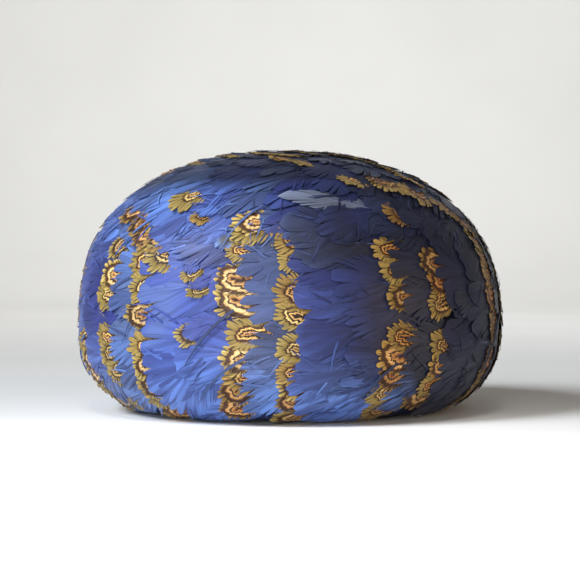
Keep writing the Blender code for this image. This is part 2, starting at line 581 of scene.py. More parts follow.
class FeatherCutter:
    """Makes the mesh of one feather of a kind, with its own tufts."""

    def __init__(self, vane: Vane, seed: int) -> None:
        """Lays out the outline and the tufts.

        Args:
            vane: The kind of feather.
            seed: Fixes this feather's tufts.
        """
        self.vane = vane
        self.random = np.random.default_rng(seed)
        self.points: list[tuple[float, float, float]] = []
        self.plump: list[float] = []
        self.faces: list[tuple[int, ...]] = []
        self.corners: list[list[tuple[float, float]]] = []
        self.cells: list[list[tuple[float, float]]] = []
        self.known: dict[Any, int] = {}
        outline = vane.outline()
        run = np.concatenate(([0.0], np.cumsum(np.hypot(*np.diff(outline, axis=0).T))))
        self.outline, self.run = outline, run / run[-1]
        self.tip_shift = self.random.uniform(-vane.lean, vane.lean)
        tip_edge = self.new_edge(1.0)
        self.edges = {side: self.side_edges(tip_edge) for side in (1, -1)}

    def new_edge(self, station: float) -> Edge:
        """An edge between tufts, parted or not.

        Args:
            station: Its place along the outline.

        Returns:
            The edge.
        """
        depth = self.random.uniform(*self.vane.split_depths)
        parted = self.random.random() < self.vane.split_chance
        return Edge(station, 1.0 - depth if parted else 1.0)

    def side_edges(self, tip_edge: Edge) -> list[Edge]:
        """The edges of one side's tufts.

        Args:
            tip_edge: The edge at the tip, which both sides share.

        Returns:
            The edges, from the root to the tip.
        """
        vane = self.vane
        shown_run = float(np.interp(-vane.shown, self.outline[:, 0], self.run))
        widths = self.random.uniform(*vane.uneven, vane.tufts)
        stations = shown_run + (1.0 - shown_run) * np.cumsum(widths)[:-1] / widths.sum()
        edges = [Edge(0.0, 1.0), Edge(shown_run, 1.0)]
        edges += [self.new_edge(float(station)) for station in stations]
        return [*edges, tip_edge]

    def end_at(self, station: float) -> np.ndarray:
        """The outline's point at a part of its length from the root to the tip."""
        return np.array([np.interp(station, self.run, self.outline[:, i]) for i in (0, 1)])

    def lift(self, spot: np.ndarray, part: float, extra: float) -> float:
        """How high a point lies over the hat's face.

        Args:
            spot: The point on the flat feather.
            part: 0 at the shaft, 1 at the outline.
            extra: How far its tuft lifts at its end.

        Returns:
            The height.
        """
        vane = self.vane
        across = spot[1] / vane.half_width
        shaft = vane.shaft_height * max(1.0 - part / vane.shaft_reach, 0.0)
        level = vane.slope * spot[0] + vane.roll * spot[1] - vane.camber * across**2
        return level + shaft + extra * part**2

    def point(self, key: Any, station: float, part: float, side: int, extra: float, plump: float) -> int:
        """A point of the vane, made once for each key.

        Args:
            key: What sets it apart from the others.
            station: The place along the outline where its barb ends.
            part: 0 at the shaft, 1 at the outline.
            side: 1 or -1.
            extra: How far its tuft lifts at its end.
            plump: How plump the tuft is there.

        Returns:
            Its number.
        """
        if key not in self.known:
            vane = self.vane
            spot = vane.barb_point(self.end_at(station), part)
            spot = np.array((spot[0], spot[1] * side))
            spot[1] += self.tip_shift * vane.half_width * math.exp(spot[0] / vane.half_width)
            self.known[key] = len(self.points)
            self.points.append((spot[0], spot[1], self.lift(spot, part, extra)))
            self.plump.append(plump)
        return self.known[key]

    def tuft(self, side: int, place: int) -> None:
        """Adds the faces of one tuft.

        Args:
            side: 1 or -1.
            place: The tuft's place from the root, 0 for the plain part that stays covered.
        """
        vane = self.vane
        low, high = self.edges[side][place : place + 2]
        width = high.station - low.station
        plain = place == 0
        last = vane.levels[-1]
        end = 1.0 if plain else 1.0 + self.random.uniform(-1.0, 0.6) * vane.ragged
        loose = 0.0 if plain else self.random.uniform(-0.15, 1.0) * vane.flutter
        rows: list[list[tuple[int, tuple[float, float]]]] = []
        for level in vane.levels:
            row = []
            for column in (0, 1, 2):
                edge = (low, low, high)[column]
                station = low.station + width * 0.5 * column
                free = column != 1 and level > edge.split
                key: Any = (side, 2 * place + column, level)
                reach = level
                extra, plump = 0.0, 0.5
                if level == 0.0:
                    key = ("shaft", 2 * place + column)
                elif free:
                    apart = (level - edge.split) / (1.0 - edge.split)
                    key = (side, place, column, level)
                    station += width * vane.pinch * apart**1.5 * (1 - column)
                    reach = level * (end - vane.point * apart**2)
                    extra, plump = loose, 0.0
                elif column == 1:
                    reach = level * end if level == last else level
                    extra = 0.0 if plain else loose + vane.ridge
                    plump = 1.0
                elif edge.station == 1.0:
                    key = ("tip", level)
                row.append((
                    self.point(key, station, reach, side, extra, plump),
                    (station if side > 0 else 2.0 - station, level),
                ))
            rows.append(row)
        for below, above in zip(rows, rows[1:]):
            for column in (0, 1):
                ring = [below[column], below[column + 1], above[column + 1], above[column]]
                if side < 0:
                    ring.reverse()
                self.faces.append(tuple(number for number, _ in ring))
                self.corners.append([mapped for _, mapped in ring])

    def close(self) -> None:
        """Gives the vane its thickness: a back, and walls round its edge."""
        count = len(self.points)
        top = list(zip(self.faces, self.corners))
        self.cells = [[self.cell_place(number, 0.0) for number in ring] for ring, _ in top]
        self.points += [(x, y, z - self.vane.thickness) for x, y, z in self.points]
        self.plump += self.plump
        once: dict[tuple[int, int], tuple[Any, Any]] = {}
        for ring, mapped in top:
            for i, start in enumerate(ring):
                j = (i + 1) % len(ring)
                if (ring[j], start) in once:
                    del once[(ring[j], start)]
                else:
                    once[(start, ring[j])] = (mapped[i], mapped[j])
            self.faces.append(tuple(number + count for number in reversed(ring)))
            self.corners.append(list(reversed(mapped)))
            self.cells.append([self.cell_place(number, -1.0) for number in reversed(ring)])
        for (start, end), (first, second) in once.items():
            self.faces.append((end, start, start + count, end + count))
            self.corners.append([second, first, first, second])
            ring = ((end, 0.0), (start, 0.0), (start, 0.02), (end, 0.02))
            self.cells.append([self.cell_place(number, beyond) for number, beyond in ring])

    def cell_place(self, number: int, beyond: float) -> tuple[float, float]:
        """Where a point falls in its feather's cell of the bake map.

        Args:
            number: The point's number.
            beyond: 0 on the face, -1 on the back, and for a wall how far it runs on past the face.

        Returns:
            The place, from 0 to 1 both ways.
        """
        x, y, _ = self.points[number]
        along = (x + self.vane.length) / (1.04 * self.vane.length)
        across = y / (2.4 * self.vane.half_width) + 0.5
        start, span = CELL_BACK if beyond < 0.0 else CELL_FACE
        past = max(beyond, 0.0)
        along += past * (1.0 if along > 0.5 else -1.0)
        across += past * (1.0 if across > 0.5 else -1.0)
        return CELL_LENGTH[0] + CELL_LENGTH[1] * along, start + span * across

    def cut(self, name: str) -> bpy.types.Object:
        """Makes the feather, flat, with its heights in an attribute.

        Args:
            name: Its name.

        Returns:
            Its object.
        """
        for side in (1, -1):
            for place in range(self.vane.tufts + 1):
                self.tuft(side, place)
        self.close()
        return cut_object(name, self.points, self.faces, self.plump, self.corners, self.cells)


def cut_object(
    name: str,
    points: Sequence[tuple[float, float, float]],
    faces: Sequence[tuple[int, ...]],
    plump: Sequence[float],
    vane_places: Sequence[Sequence[tuple[float, float]]],
    cells: Sequence[Sequence[tuple[float, float]]],
) -> bpy.types.Object:
    """Makes a flat mesh that keeps its heights in an attribute, for the tree to lay.

    Args:
        name: Its name.
        points: Its points with their heights.
        faces: Its faces.
        plump: How plump it is at each point.
        vane_places: Each face corner's place on the vane.
        cells: Each face corner's place in its cell of the bake map.

    Returns:
        The object, linked to nothing.
    """
    mesh = bpy.data.meshes.new(name)
    mesh.from_pydata([(x, y, 0.0) for x, y, _ in points], [], faces)
    for label, values in (("lift", [z for _, _, z in points]), (PLUMP, plump)):
        mesh.attributes.new(label, "FLOAT", "POINT").data.foreach_set("value", values)
    for label, corners in ((VANE_MAP, vane_places), (BAKE_MAP, cells)):
        flat = [number for ring in corners for pair in ring for number in pair]
        mesh.uv_layers.new(name=label).uv.foreach_set("vector", flat)
    mesh.update()
    return bpy.data.objects.new(name, mesh)


@dataclass(frozen=True)
class Strand:
    """A stray barb, wisp or bare shaft, in metres, laid flat with its tip at the origin."""

    name: str
    length: float
    width: float
    bend: float
    rise: float = 0.00070  # how high its tip stands off
    sink: float = 0.0  # how low its root lies
    thickness: float = 0.00014
    plump: float = 2.0
    lengths: tuple[float, float] = (0.6, 1.3)  # over the length
    bends: tuple[float, float] = (-1.0, 1.0)  # over the bend
    steps: int = 6
    variants: int = 8


class StrandCutter:
    """Makes the mesh of one stray barb."""

    def __init__(self, strand: Strand, seed: int) -> None:
        """Keeps its kind and its own chance numbers."""
        self.strand = strand
        self.random = np.random.default_rng(seed)

    def cut(self, name: str) -> bpy.types.Object:
        """Makes the barb, flat, with its heights in an attribute.

        Args:
            name: Its name.

        Returns:
            Its object.
        """
        strand = self.strand
        length = strand.length * self.random.uniform(*strand.lengths)
        bend = strand.bend * self.random.uniform(*strand.bends)
        points, faces = [], []
        for step in range(strand.steps + 1):
            part = step / strand.steps
            width = strand.width * (1.0 - 0.85 * part**2) / 2.0
            height = strand.rise * part**2 - strand.sink * (1.0 - part) ** 2
            middle = bend * part**2
            for side, drop in ((-1, 0.0), (1, 0.0), (1, strand.thickness), (-1, strand.thickness)):
                points.append((length * (part - 1.0), middle + side * width, height - drop))
        for step in range(strand.steps):
            near, far = 4 * step, 4 * step + 4
            faces += [(near + i, near + (i + 1) % 4, far + (i + 1) % 4, far + i) for i in range(4)]
        faces = [ring[::-1] for ring in faces]
        faces += [(0, 1, 2, 3), tuple(4 * strand.steps + i for i in (3, 2, 1, 0))]
        cells = [
            [(0.1 + 0.8 * (number // 4) / strand.steps, 0.2 * (1 + number % 4)) for number in ring]
            for ring in faces
        ]
        places = [[(0.5, 0.9)] * len(ring) for ring in faces]
        return cut_object(name, points, faces, [strand.plump] * len(points), places, cells)


class FeatherStock:
    """A drawer of cut feathers of one kind, for the tree to pick from."""

    def __init__(self, kind: Vane | Strand, seed: int) -> None:
        """Cuts the feathers.

        Args:
            kind: Their kind.
            seed: Fixes them all.
        """
        self.kind = kind
        self.drawer = bpy.data.collections.new(f"stock_{kind.name}")
        cutter = StrandCutter if isinstance(kind, Strand) else FeatherCutter
        for i in range(kind.variants):
            self.drawer.objects.link(cutter(kind, seed + i).cut(f"cut_{kind.name}_{i:02d}"))

    def clear(self) -> None:
        """Deletes the cut feathers, once all are laid."""
        for feather in list(self.drawer.objects):
            delete(feather)
        bpy.data.collections.remove(self.drawer)


@dataclass
class LayingForm:
    """The smooth form that feathers are pressed onto, with the hem that turns in under the rim."""

    columns: int = 240
    rows: int = 110
    hem_height: float = 0.0010
    hem_start_height: float = 0.0016
    hem_inner: float = 0.0068  # how far in from the rim's half width the hem turns up
    hem_radius: float = 0.0022
    hem_return: float = 0.004
    shape: bpy.types.Object | None = None

    def hem(self) -> list[tuple[float, float]]:
        """The section of the hem that feathers are turned in over.

        Returns:
            Half width and height of its points, from the rim, under it, and up inside.
        """
        inner = FORM.rim_half_width - self.hem_inner
        points = [(FORM.rim_half_width - 0.0005, self.hem_height + 0.0001)]
        points += [(inner + 0.002 * i, self.hem_height) for i in (2, 1, 0)]
        for i in range(1, 9):
            turn = math.pi * i / 8
            height = self.hem_height + self.hem_radius * (1.0 - math.cos(turn))
            points.append((inner - self.hem_radius * math.sin(turn), height))
        points.append((inner + self.hem_return, points[-1][1] + 0.6 * self.hem_return))
        return points

    def build(self) -> bpy.types.Object:
        """Makes the form.

        Returns:
            Its object, which keeps its outward directions in an attribute.
        """
        profile = []
        for row in range(1, self.rows + 1):
            width, height = section_at(row / self.rows)
            if height < self.hem_start_height:
                break
            profile.append((width, height))
        profile += self.hem()
        verts = [hat_point(0.0, 0.0)]
        for width, height in profile:
            verts += [
                place_on(2.0 * math.pi * i / self.columns, width, height) for i in range(self.columns)
            ]
        mesh = bpy.data.meshes.new("laying_form")
        mesh.from_pydata(verts, [], round_faces(self.columns, len(profile)))
        mesh.update()
        normals = np.empty(3 * len(mesh.vertices), np.float32)
        mesh.vertex_normals.foreach_get("vector", normals)
        outward = mesh.attributes.new("outward", "FLOAT_VECTOR", "POINT")
        outward.data.foreach_set("vector", normals)
        self.shape = bpy.data.objects.new("laying_form", mesh)
        return self.shape

    def clear(self) -> None:
        """Deletes the form, once all feathers are laid."""
        delete(self.shape)


@dataclass
class Laid:
    """One feather's place on the hat."""

    bearing: float
    share: float
    slant: float  # how far its tip is turned down from level, in radians
    size: float = 1.0
    stretch: float = 1.0  # its length over its width, beside the kind's own
    seat: float = 0.0  # height over the hat's face
    steep: float = 1.0  # how much faster than its kind it sinks towards its root
    pick: int = 0

    def moved(self, along: float, across: float, turn: float) -> "Laid":
        """A place beside this one.

        Args:
            along: How far on towards this feather's tip, in metres.
            across: How far to its lower side, in metres.
            turn: How much further down its tip is turned, in radians.

        Returns:
            The new place.
        """
        around = across * math.sin(self.slant) - along * math.cos(self.slant)
        down = along * math.sin(self.slant) + across * math.cos(self.slant)
        radius = max(section_at(self.share)[0], 0.012)
        share = min(max(self.share + down / TOTAL_RUN, 0.01), 0.999)
        return Laid(self.bearing + around / radius, share, self.slant + turn)


class LayingTree:
    """The Geometry Nodes tree that lays feathers on points and presses them onto the form."""

    INPUTS = {
        "Points": "Geometry",
        "Feathers": "Collection",
        "Form": "Object",
        "Finish": "Material",
        "Turn spread": "Float",
        "Size spread": "Float",
        "Lift spread": "Float",
        "Rumple": "Float",
        "Lowest": "Float",
        "First cell": "Int",
        "Cell step": "Int",
        "Cells across": "Int",
        "Seed": "Int",
    }

    def __init__(self) -> None:
        """Builds the tree."""
        outputs = {"Geometry": "Geometry"}
        self.group = new_group("lay_feathers", "GeometryNodeTree", self.INPUTS, outputs)
        self.wiring = Wiring(self.group)
        self.inputs = self.wiring.add("NodeGroupInput").outputs
        pressed = self.press(self.map_cells(self.instances()))
        inputs = {"Geometry": pressed, "Material": self.inputs["Finish"]}
        done = self.wiring.add("GeometryNodeSetMaterial", inputs)
        self.wiring.add("NodeGroupOutput", {0: done.outputs[0]})

    def named(self, name: str, kind: str) -> Any:
        """The socket of a named attribute of this kind."""
        node = self.wiring.add("GeometryNodeInputNamedAttribute", {"Name": name}, data_type=kind)
        return self.wiring.shown(node.outputs, "Attribute")

    def random(self, low: Any, high: Any, offset: int) -> Any:
        """Adds a random number for each feather.

        Args:
            low: The least that it can be.
            high: The most that it can be.
            offset: Added to the seed, so that each of these numbers is another.

        Returns:
            The number's socket.
        """
        wiring = self.wiring
        seed = wiring.plus(self.inputs["Seed"], float(offset))
        node = wiring.add("FunctionNodeRandomValue", data_type="FLOAT")
        for name, value in (("Min", low), ("Max", high), ("Seed", seed)):
            wiring.feed(wiring.shown(node.inputs, name), value)
        return wiring.shown(node.outputs, "Value")

    def stored(
        self, geometry: Any, name: str, value: Any, kind: str = "FLOAT", domain: str = "INSTANCE"
    ) -> Any:
        """Keeps a value in a named attribute.

        Args:
            geometry: The geometry's socket.
            name: The attribute's name.
            value: The value's socket.
            kind: Blender's name for its type.
            domain: What has one value each.

        Returns:
            The new geometry's socket.
        """
        node = self.wiring.add(
            "GeometryNodeStoreNamedAttribute",
            {"Geometry": geometry, "Name": name},
            data_type=kind,
            domain=domain,
        )
        self.wiring.feed(self.wiring.shown(node.inputs, "Value"), value)
        return node.outputs[0]

    def instances(self) -> Any:
        """Lays a feather on each point.

        Returns:
            The socket of the feathers' real meshes.
        """
        wiring, inputs = self.wiring, self.inputs
        drawer = wiring.add(
            "GeometryNodeCollectionInfo",
            {"Collection": inputs["Feathers"], "Separate Children": True, "Reset Children": True},
        )
        lay = wiring.add("FunctionNodeEulerToRotation", {0: self.named("lay", "FLOAT_VECTOR")})
        spread = inputs["Turn spread"]
        turn = self.random(wiring.times(spread, -1.0), spread, 1)
        twist = wiring.add("FunctionNodeAxisAngleToRotation", {"Axis": (0, 0, 1), "Angle": turn})
        turned = wiring.add(
            "FunctionNodeRotateRotation", {0: lay.outputs[0], 1: twist.outputs[0]}, rotation_space="LOCAL"
        )
        size_spread = inputs["Size spread"]
        less = wiring.math("SUBTRACT", 1.0, size_spread)
        more = wiring.plus(1.0, size_spread)
        scale = wiring.vector_math("SCALE", self.named("scale", "FLOAT_VECTOR"), self.random(less, more, 2))
        placed = wiring.add(
            "GeometryNodeInstanceOnPoints",
            {
                "Points": inputs["Points"],
                "Instance": drawer.outputs[0],
                "Pick Instance": True,
                "Instance Index": self.named("pick", "INT"),
                "Rotation": turned.outputs[0],
                "Scale": scale,
            },
        ).outputs[0]
        placed = self.stored(placed, TONE, self.random(0.0, 1.0, 3))
        placed = self.stored(placed, GRAIN, self.random(0.0, 50.0, 4))
        lift = self.random(0.0, inputs["Lift spread"], 5)
        placed = self.stored(placed, "loose", lift)
        number = wiring.times(wiring.add("GeometryNodeInputIndex").outputs[0], inputs["Cell step"])
        placed = self.stored(placed, "cell", wiring.plus(number, inputs["First cell"]))
        return wiring.add("GeometryNodeRealizeInstances", {0: placed}).outputs[0]

    def map_cells(self, geometry: Any) -> Any:
        """Moves each feather's part of the bake map into its own cell.

        Args:
            geometry: The feathers' socket.

        Returns:
            The new geometry's socket.
        """
        wiring, across = self.wiring, self.inputs["Cells across"]
        place = wiring.add("ShaderNodeSeparateXYZ", {0: self.named(BAKE_MAP, "FLOAT_VECTOR")}).outputs
        cell = wiring.math("ROUND", self.named("cell", "FLOAT"))
        row = wiring.math("FLOOR", wiring.math("DIVIDE", wiring.plus(cell, 0.01), across))
        column = wiring.math("SUBTRACT", cell, wiring.times(row, across))
        moved = [
            wiring.math("DIVIDE", wiring.plus(start, part), across)
            for start, part in ((column, place[0]), (row, place[1]))
        ]
        spot = wiring.add("ShaderNodeCombineXYZ", dict(enumerate(moved))).outputs[0]
        return self.stored(geometry, BAKE_MAP, spot, "FLOAT2", "CORNER")

    def press(self, geometry: Any) -> Any:
        """Presses the feathers onto the form.

        Args:
            geometry: The flat feathers' socket.

        Returns:
            The pressed feathers' socket.
        """
        wiring = self.wiring
        form = wiring.add("GeometryNodeObjectInfo", {"Object": self.inputs["Form"]}).outputs["Geometry"]
        here = wiring.add("GeometryNodeInputPosition").outputs[0]

        def nearest(value: Any) -> Any:
            """Reads a vector of the form at its nearest point.

            Args:
                value: The vector's socket.

            Returns:
                The socket of what is read.
            """
            inputs = {"Mesh": form, "Value": value, "Sample Position": here}
            return wiring.add(
                "GeometryNodeSampleNearestSurface", inputs, data_type="FLOAT_VECTOR"
            ).outputs["Value"]

        face = nearest(here)
        outward = wiring.vector_math("NORMALIZE", nearest(self.named("outward", "FLOAT_VECTOR")))
        lift = wiring.times(self.named("lift", "FLOAT"), self.named("size", "FLOAT"))
        seat = wiring.plus(self.named("seat", "FLOAT"), self.named("loose", "FLOAT"))
        rumple = wiring.add(
            "ShaderNodeTexNoise",
            {"Vector": here, "W": self.named(GRAIN, "FLOAT"), "Scale": 42.0, "Detail": 0.0},
            noise_dimensions="4D",
        ).outputs[0]
        rumple = wiring.times(wiring.math("SUBTRACT", rumple, 0.5), self.inputs["Rumple"])
        height = wiring.plus(wiring.plus(lift, seat), rumple)
        spot = wiring.vector_math("ADD", face, wiring.vector_math("SCALE", outward, height))
        parts = wiring.add("ShaderNodeSeparateXYZ", {0: spot}).outputs
        raised = wiring.math("MAXIMUM", parts[2], self.inputs["Lowest"])
        spot = wiring.add("ShaderNodeCombineXYZ", {0: parts[0], 1: parts[1], 2: raised}).outputs[0]
        return wiring.add("GeometryNodeSetPosition", {"Geometry": geometry, "Position": spot}).outputs[0]

    def set_inputs(self, modifier: Any, **values: Any) -> None:
        """Sets a modifier's inputs by their sockets' identifiers.

        Args:
            modifier: The modifier.
            **values: The value of each input, by its name in small letters.
        """
        for item in self.group.interface.items_tree:
            key = item.name.lower().replace(" ", "_")
            if item.in_out == "INPUT" and key in values:
                modifier[item.identifier] = values[key]


@dataclass
class Load:
    """Feathers of one drawer to be laid together."""

    laid: list[Laid]
    stock: FeatherStock
    turn_spread: float = math.radians(5.0)
    size_spread: float = 0.06
    lift_spread: float = 0.00025
    rumple: float = 0.0006
    one_cell: bool = False  # whether all share one cell of the bake map


@dataclass
class Layer:
    """Lays the feathers of one piece, from one drawer and in one finish."""

    tree: LayingTree
    form: bpy.types.Object
    lowest: float = 0.0002

    def points(self, name: str, laid: Sequence[Laid]) -> bpy.types.Object:
        """Makes the points that feathers are laid on.

        Args:
            name: Their name.
            laid: The feathers' places.

        Returns:
            The points' object, with what each feather needs in attributes.
        """
        spots, turns, scales, sizes, seats, picks = [], [], [], [], [], []
        for feather in laid:
            around, down, outward = directions_at(feather.bearing, feather.share)
            forward = -around * math.cos(feather.slant) + down * math.sin(feather.slant)
            across = outward.cross(forward)
            turn = Matrix((forward, across, outward)).transposed().to_euler()
            spots.append(hat_point(feather.bearing, feather.share))
            turns += list(turn)
            scales += [feather.size * feather.stretch, feather.size, feather.size]
            sizes.append(feather.size * feather.steep)
            seats.append(feather.seat)
            picks.append(feather.pick)
        mesh = bpy.data.meshes.new(name)
        mesh.from_pydata(spots, [], [])
        for label, kind, key, values in (
            ("lay", "FLOAT_VECTOR", "vector", turns),
            ("scale", "FLOAT_VECTOR", "vector", scales),
            ("size", "FLOAT", "value", sizes),
            ("seat", "FLOAT", "value", seats),
            ("pick", "INT", "value", picks),
        ):
            mesh.attributes.new(label, kind, "POINT").data.foreach_set(key, values)
        return bpy.data.objects.new(name, mesh)

    def lay(
        self, name: str, load: Load, finish: bpy.types.Material, seed: int, first_cell: int, across: int
    ) -> bpy.types.Mesh:
        """Lays feathers and presses them onto the hat.

        Args:
            name: The mesh's name.
            load: The feathers, their places and how they may stray.
            finish: Their material.
            seed: Fixes what is random.
            first_cell: The first feather's cell in the bake map.
            across: How many cells the map has each way.

        Returns:
            The plain mesh.
        """
        source = self.points(f"{name}_points", load.laid)
        show(source)
        modifier = source.modifiers.new("laying", "NODES")
        modifier.node_group = self.tree.group
        self.tree.set_inputs(
            modifier,
            feathers=load.stock.drawer,
            form=self.form,
            finish=finish,
            turn_spread=load.turn_spread,
            size_spread=load.size_spread,
            lift_spread=load.lift_spread,
            rumple=load.rumple,
            lowest=self.lowest,
            first_cell=first_cell,
            cell_step=0 if load.one_cell else 1,
            cells_across=across,
            seed=seed,
        )
        bpy.context.view_layer.update()
        depsgraph = bpy.context.evaluated_depsgraph_get()
        mesh = bpy.data.meshes.new_from_object(
            source.evaluated_get(depsgraph), preserve_all_data_layers=True, depsgraph=depsgraph
        )
        mesh.name = name
        for label in ("lay", "scale", "size", "seat", "pick", "lift", "loose", "cell"):
            if label in mesh.attributes:
                mesh.attributes.remove(mesh.attributes[label])
        mesh.materials.clear()
        mesh.materials.append(finish)
        if "material_index" in mesh.attributes:
            mesh.attributes.remove(mesh.attributes["material_index"])
        delete(source)
        return mesh

    def lay_all(
        self, name: str, loads: Sequence[Load], finish: bpy.types.Material, seed: int
    ) -> bpy.types.Mesh:
        """Lays several loads of feathers as one mesh.

        Args:
            name: The mesh's name.
            loads: The loads, any of which may be empty.
            finish: The material of them all.
            seed: Fixes what is random.

        Returns:
            The plain mesh.
        """
        loads = [load for load in loads if load.laid]
        counts = [1 if load.one_cell else len(load.laid) for load in loads]
        across = math.ceil(math.sqrt(sum(counts)))
        meshes = [
            self.lay(f"{name}_{i}", load, finish, seed + i, sum(counts[:i]), across)
            for i, load in enumerate(loads)
        ]
        return join(name, meshes)


def join(name: str, meshes: Sequence[bpy.types.Mesh]) -> bpy.types.Mesh:
    """Joins meshes of one finish into the first, with their maps and attributes.

    Args:
        name: The name that it gets.
        meshes: The meshes.

    Returns:
        The joined mesh.
    """
    if len(meshes) > 1:
        both = bpy.data.objects.new(name, meshes[0])
        others = [bpy.data.objects.new(mesh.name, mesh) for mesh in meshes[1:]]
        for thing in (both, *others):
            show(thing)
        with bpy.context.temp_override(
            active_object=both, object=both, selected_editable_objects=[both, *others]
        ):
            bpy.ops.object.join()
        bpy.data.objects.remove(both)
    meshes[0].name = name
    return meshes[0]


def add_piece(name: str, mesh: bpy.types.Mesh, slot: str, *nodes: str) -> bpy.types.Object:
    """Puts a finished mesh in the scene as a piece of the hat.

    Args:
        name: The piece's name.
        mesh: Its mesh, with its material.
        slot: The record's material slot; not used.
        *nodes: The solids that it stands for.

    Returns:
        The piece.
    """
    piece = bpy.data.objects.new(name, mesh)
    show(piece)
    mesh.shade_smooth()
    mesh.set_sharp_from_angle(angle=math.radians(40.0))
    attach(piece, BODY)
    if nodes:
        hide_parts(*nodes)
    LOG.info("%s: %d faces, for %s", name, len(mesh.polygons), ", ".join(nodes) or "no solid")
    return piece


class Effects:
    """The node groups that the finishes share."""

    def __init__(self) -> None:
        """Builds the groups."""
        self.barbs = self.barb_group()
        self.drift = self.drift_group()

    def streaks(self, wiring: Wiring, barbs: float, wander: float) -> Any:
        """Adds the streaks along the barbs to a material.

        Args:
            wiring: The material's wiring.
            barbs: How many streaks lie round a vane.
            wander: How much they change along their length.

        Returns:
            Their sockets.
        """
        inputs = {"Barbs": barbs, "Wander": wander}
        return wiring.add("ShaderNodeGroup", inputs, node_tree=self.barbs).outputs

    def drifted(self, wiring: Wiring) -> Any:
        """The sockets of the dye's drift, in patches of some 70 mm, with the charcoal that is partly painted
        shade and the painted light.
        """
        return wiring.add("ShaderNodeGroup", {"Patch size": 0.07}, node_tree=self.drift).outputs

    @staticmethod
    def chance(wiring: Wiring, factor: float) -> Any:
        """A socket with another random number for each feather, from its grain and a factor."""
        grain = wiring.attribute(GRAIN)
        return wiring.math("FRACT", wiring.times(grain, factor))

    @staticmethod
    def vane_place(wiring: Wiring) -> Any:
        """Sockets for the place on a vane: along its edge, and out from its shaft."""
        mapped = wiring.add("ShaderNodeUVMap", uv_map=VANE_MAP).outputs[0]
        return wiring.add("ShaderNodeSeparateXYZ", {0: mapped}).outputs

    @staticmethod
    def barb_group() -> Any:
        """Builds the fine streaks along the barbs, from the vane map.

        Returns:
            The group.
        """
        outputs = dict.fromkeys(("Streak", "Strand", "Height"), "Float")
        group = new_group("barb_streaks", "ShaderNodeTree", {"Barbs": "Float", "Wander": "Float"}, outputs)
        wiring = Wiring(group)
        inputs = wiring.add("NodeGroupInput").outputs
        place = Effects.vane_place(wiring)
        grain = wiring.attribute(GRAIN)
        across = wiring.times(place[0], inputs["Barbs"])
        along = wiring.times(place[1], inputs["Wander"])
        spot = wiring.add("ShaderNodeCombineXYZ", {0: across, 1: along, 2: grain}).outputs[0]
        fine = wiring.noise(spot, 1.0, roughness=0.6)
        broad = wiring.noise(wiring.vector_math("MULTIPLY", spot, (0.22, 0.6, 1.0)), 1.0, 1.0)
        streak = wiring.spread(fine, 0.32, 0.68)
        strand = wiring.spread(broad, 0.34, 0.66)
        height = wiring.plus(wiring.times(streak, 0.5), wiring.times(strand, 0.5))
        wiring.add("NodeGroupOutput", {0: streak, 1: strand, 2: height})
        return group

    @staticmethod
    def drift_group() -> Any:
        """Builds the slow change of dye from feather to feather and over the hat, with painted shade and
        painted light.

        Returns:
            The group.
        """
        outputs = dict.fromkeys(("Drift", "Charcoal", "Worn"), "Float")
        group = new_group("dye_drift", "ShaderNodeTree", {"Patch size": "Float"}, outputs)
        wiring = Wiring(group)
        inputs = wiring.add("NodeGroupInput").outputs
        tone = wiring.attribute(TONE)
        here = wiring.add("ShaderNodeTexCoord").outputs["Object"]
        patches = wiring.noise(here, wiring.math("DIVIDE", 1.0, inputs["Patch size"]), 1.0)
        slow = wiring.spread(patches, 0.35, 0.65)
        drift = wiring.plus(wiring.times(tone, 0.6), wiring.times(slow, 0.4))
        parts = wiring.add("ShaderNodeSeparateXYZ", {0: here}).outputs
        # Charcoal, partly the dye and partly painted shade, starts right of the middle and further right near
        # the rim; as painted shade it also covers the crown.
        side = wiring.plus(parts[0], wiring.spread(slow, 0.0, 1.0, -0.02, 0.02))
        side = wiring.math("SUBTRACT", side, wiring.spread(parts[2], 0.065, 0.020, 0.0, 0.024))
        crown = wiring.spread(parts[2], 0.120, 0.132, 0.0, 0.94)
        charcoal = wiring.math("MAXIMUM", wiring.spread(side, -0.028, 0.046), crown)
        # Painted light: a painted highlight high on the left, and painted light from below in a band over the
        # rim.
        left = wiring.spread(parts[0], -0.008, -0.062)
        high = wiring.spread(parts[2], 0.078, 0.112)
        low = wiring.spread(parts[2], 0.052, 0.012)
        worn = wiring.math("MAXIMUM", wiring.times(left, high), low)
        worn = wiring.times(worn, wiring.spread(tone, 0.2, 1.0, 0.45, 1.0))
        # The painted light fades where the charcoal and painted shade lie.
        blue = wiring.math("POWER", wiring.math("SUBTRACT", 1.0, charcoal), 0.6)
        worn = wiring.times(worn, blue)
        wiring.add("NodeGroupOutput", {0: drift, 1: charcoal, 2: worn})
        return group


def start_material(name: str) -> tuple[bpy.types.Material, Wiring, Any]:
    """Starts a material.

    Args:
        name: Its name.

    Returns:
        The material, its wiring and its shader.
    """
    material = bpy.data.materials.new(name)
    material.use_nodes = True
    wiring = Wiring(material.node_tree)
    return material, wiring, material.node_tree.nodes["Principled BSDF"]


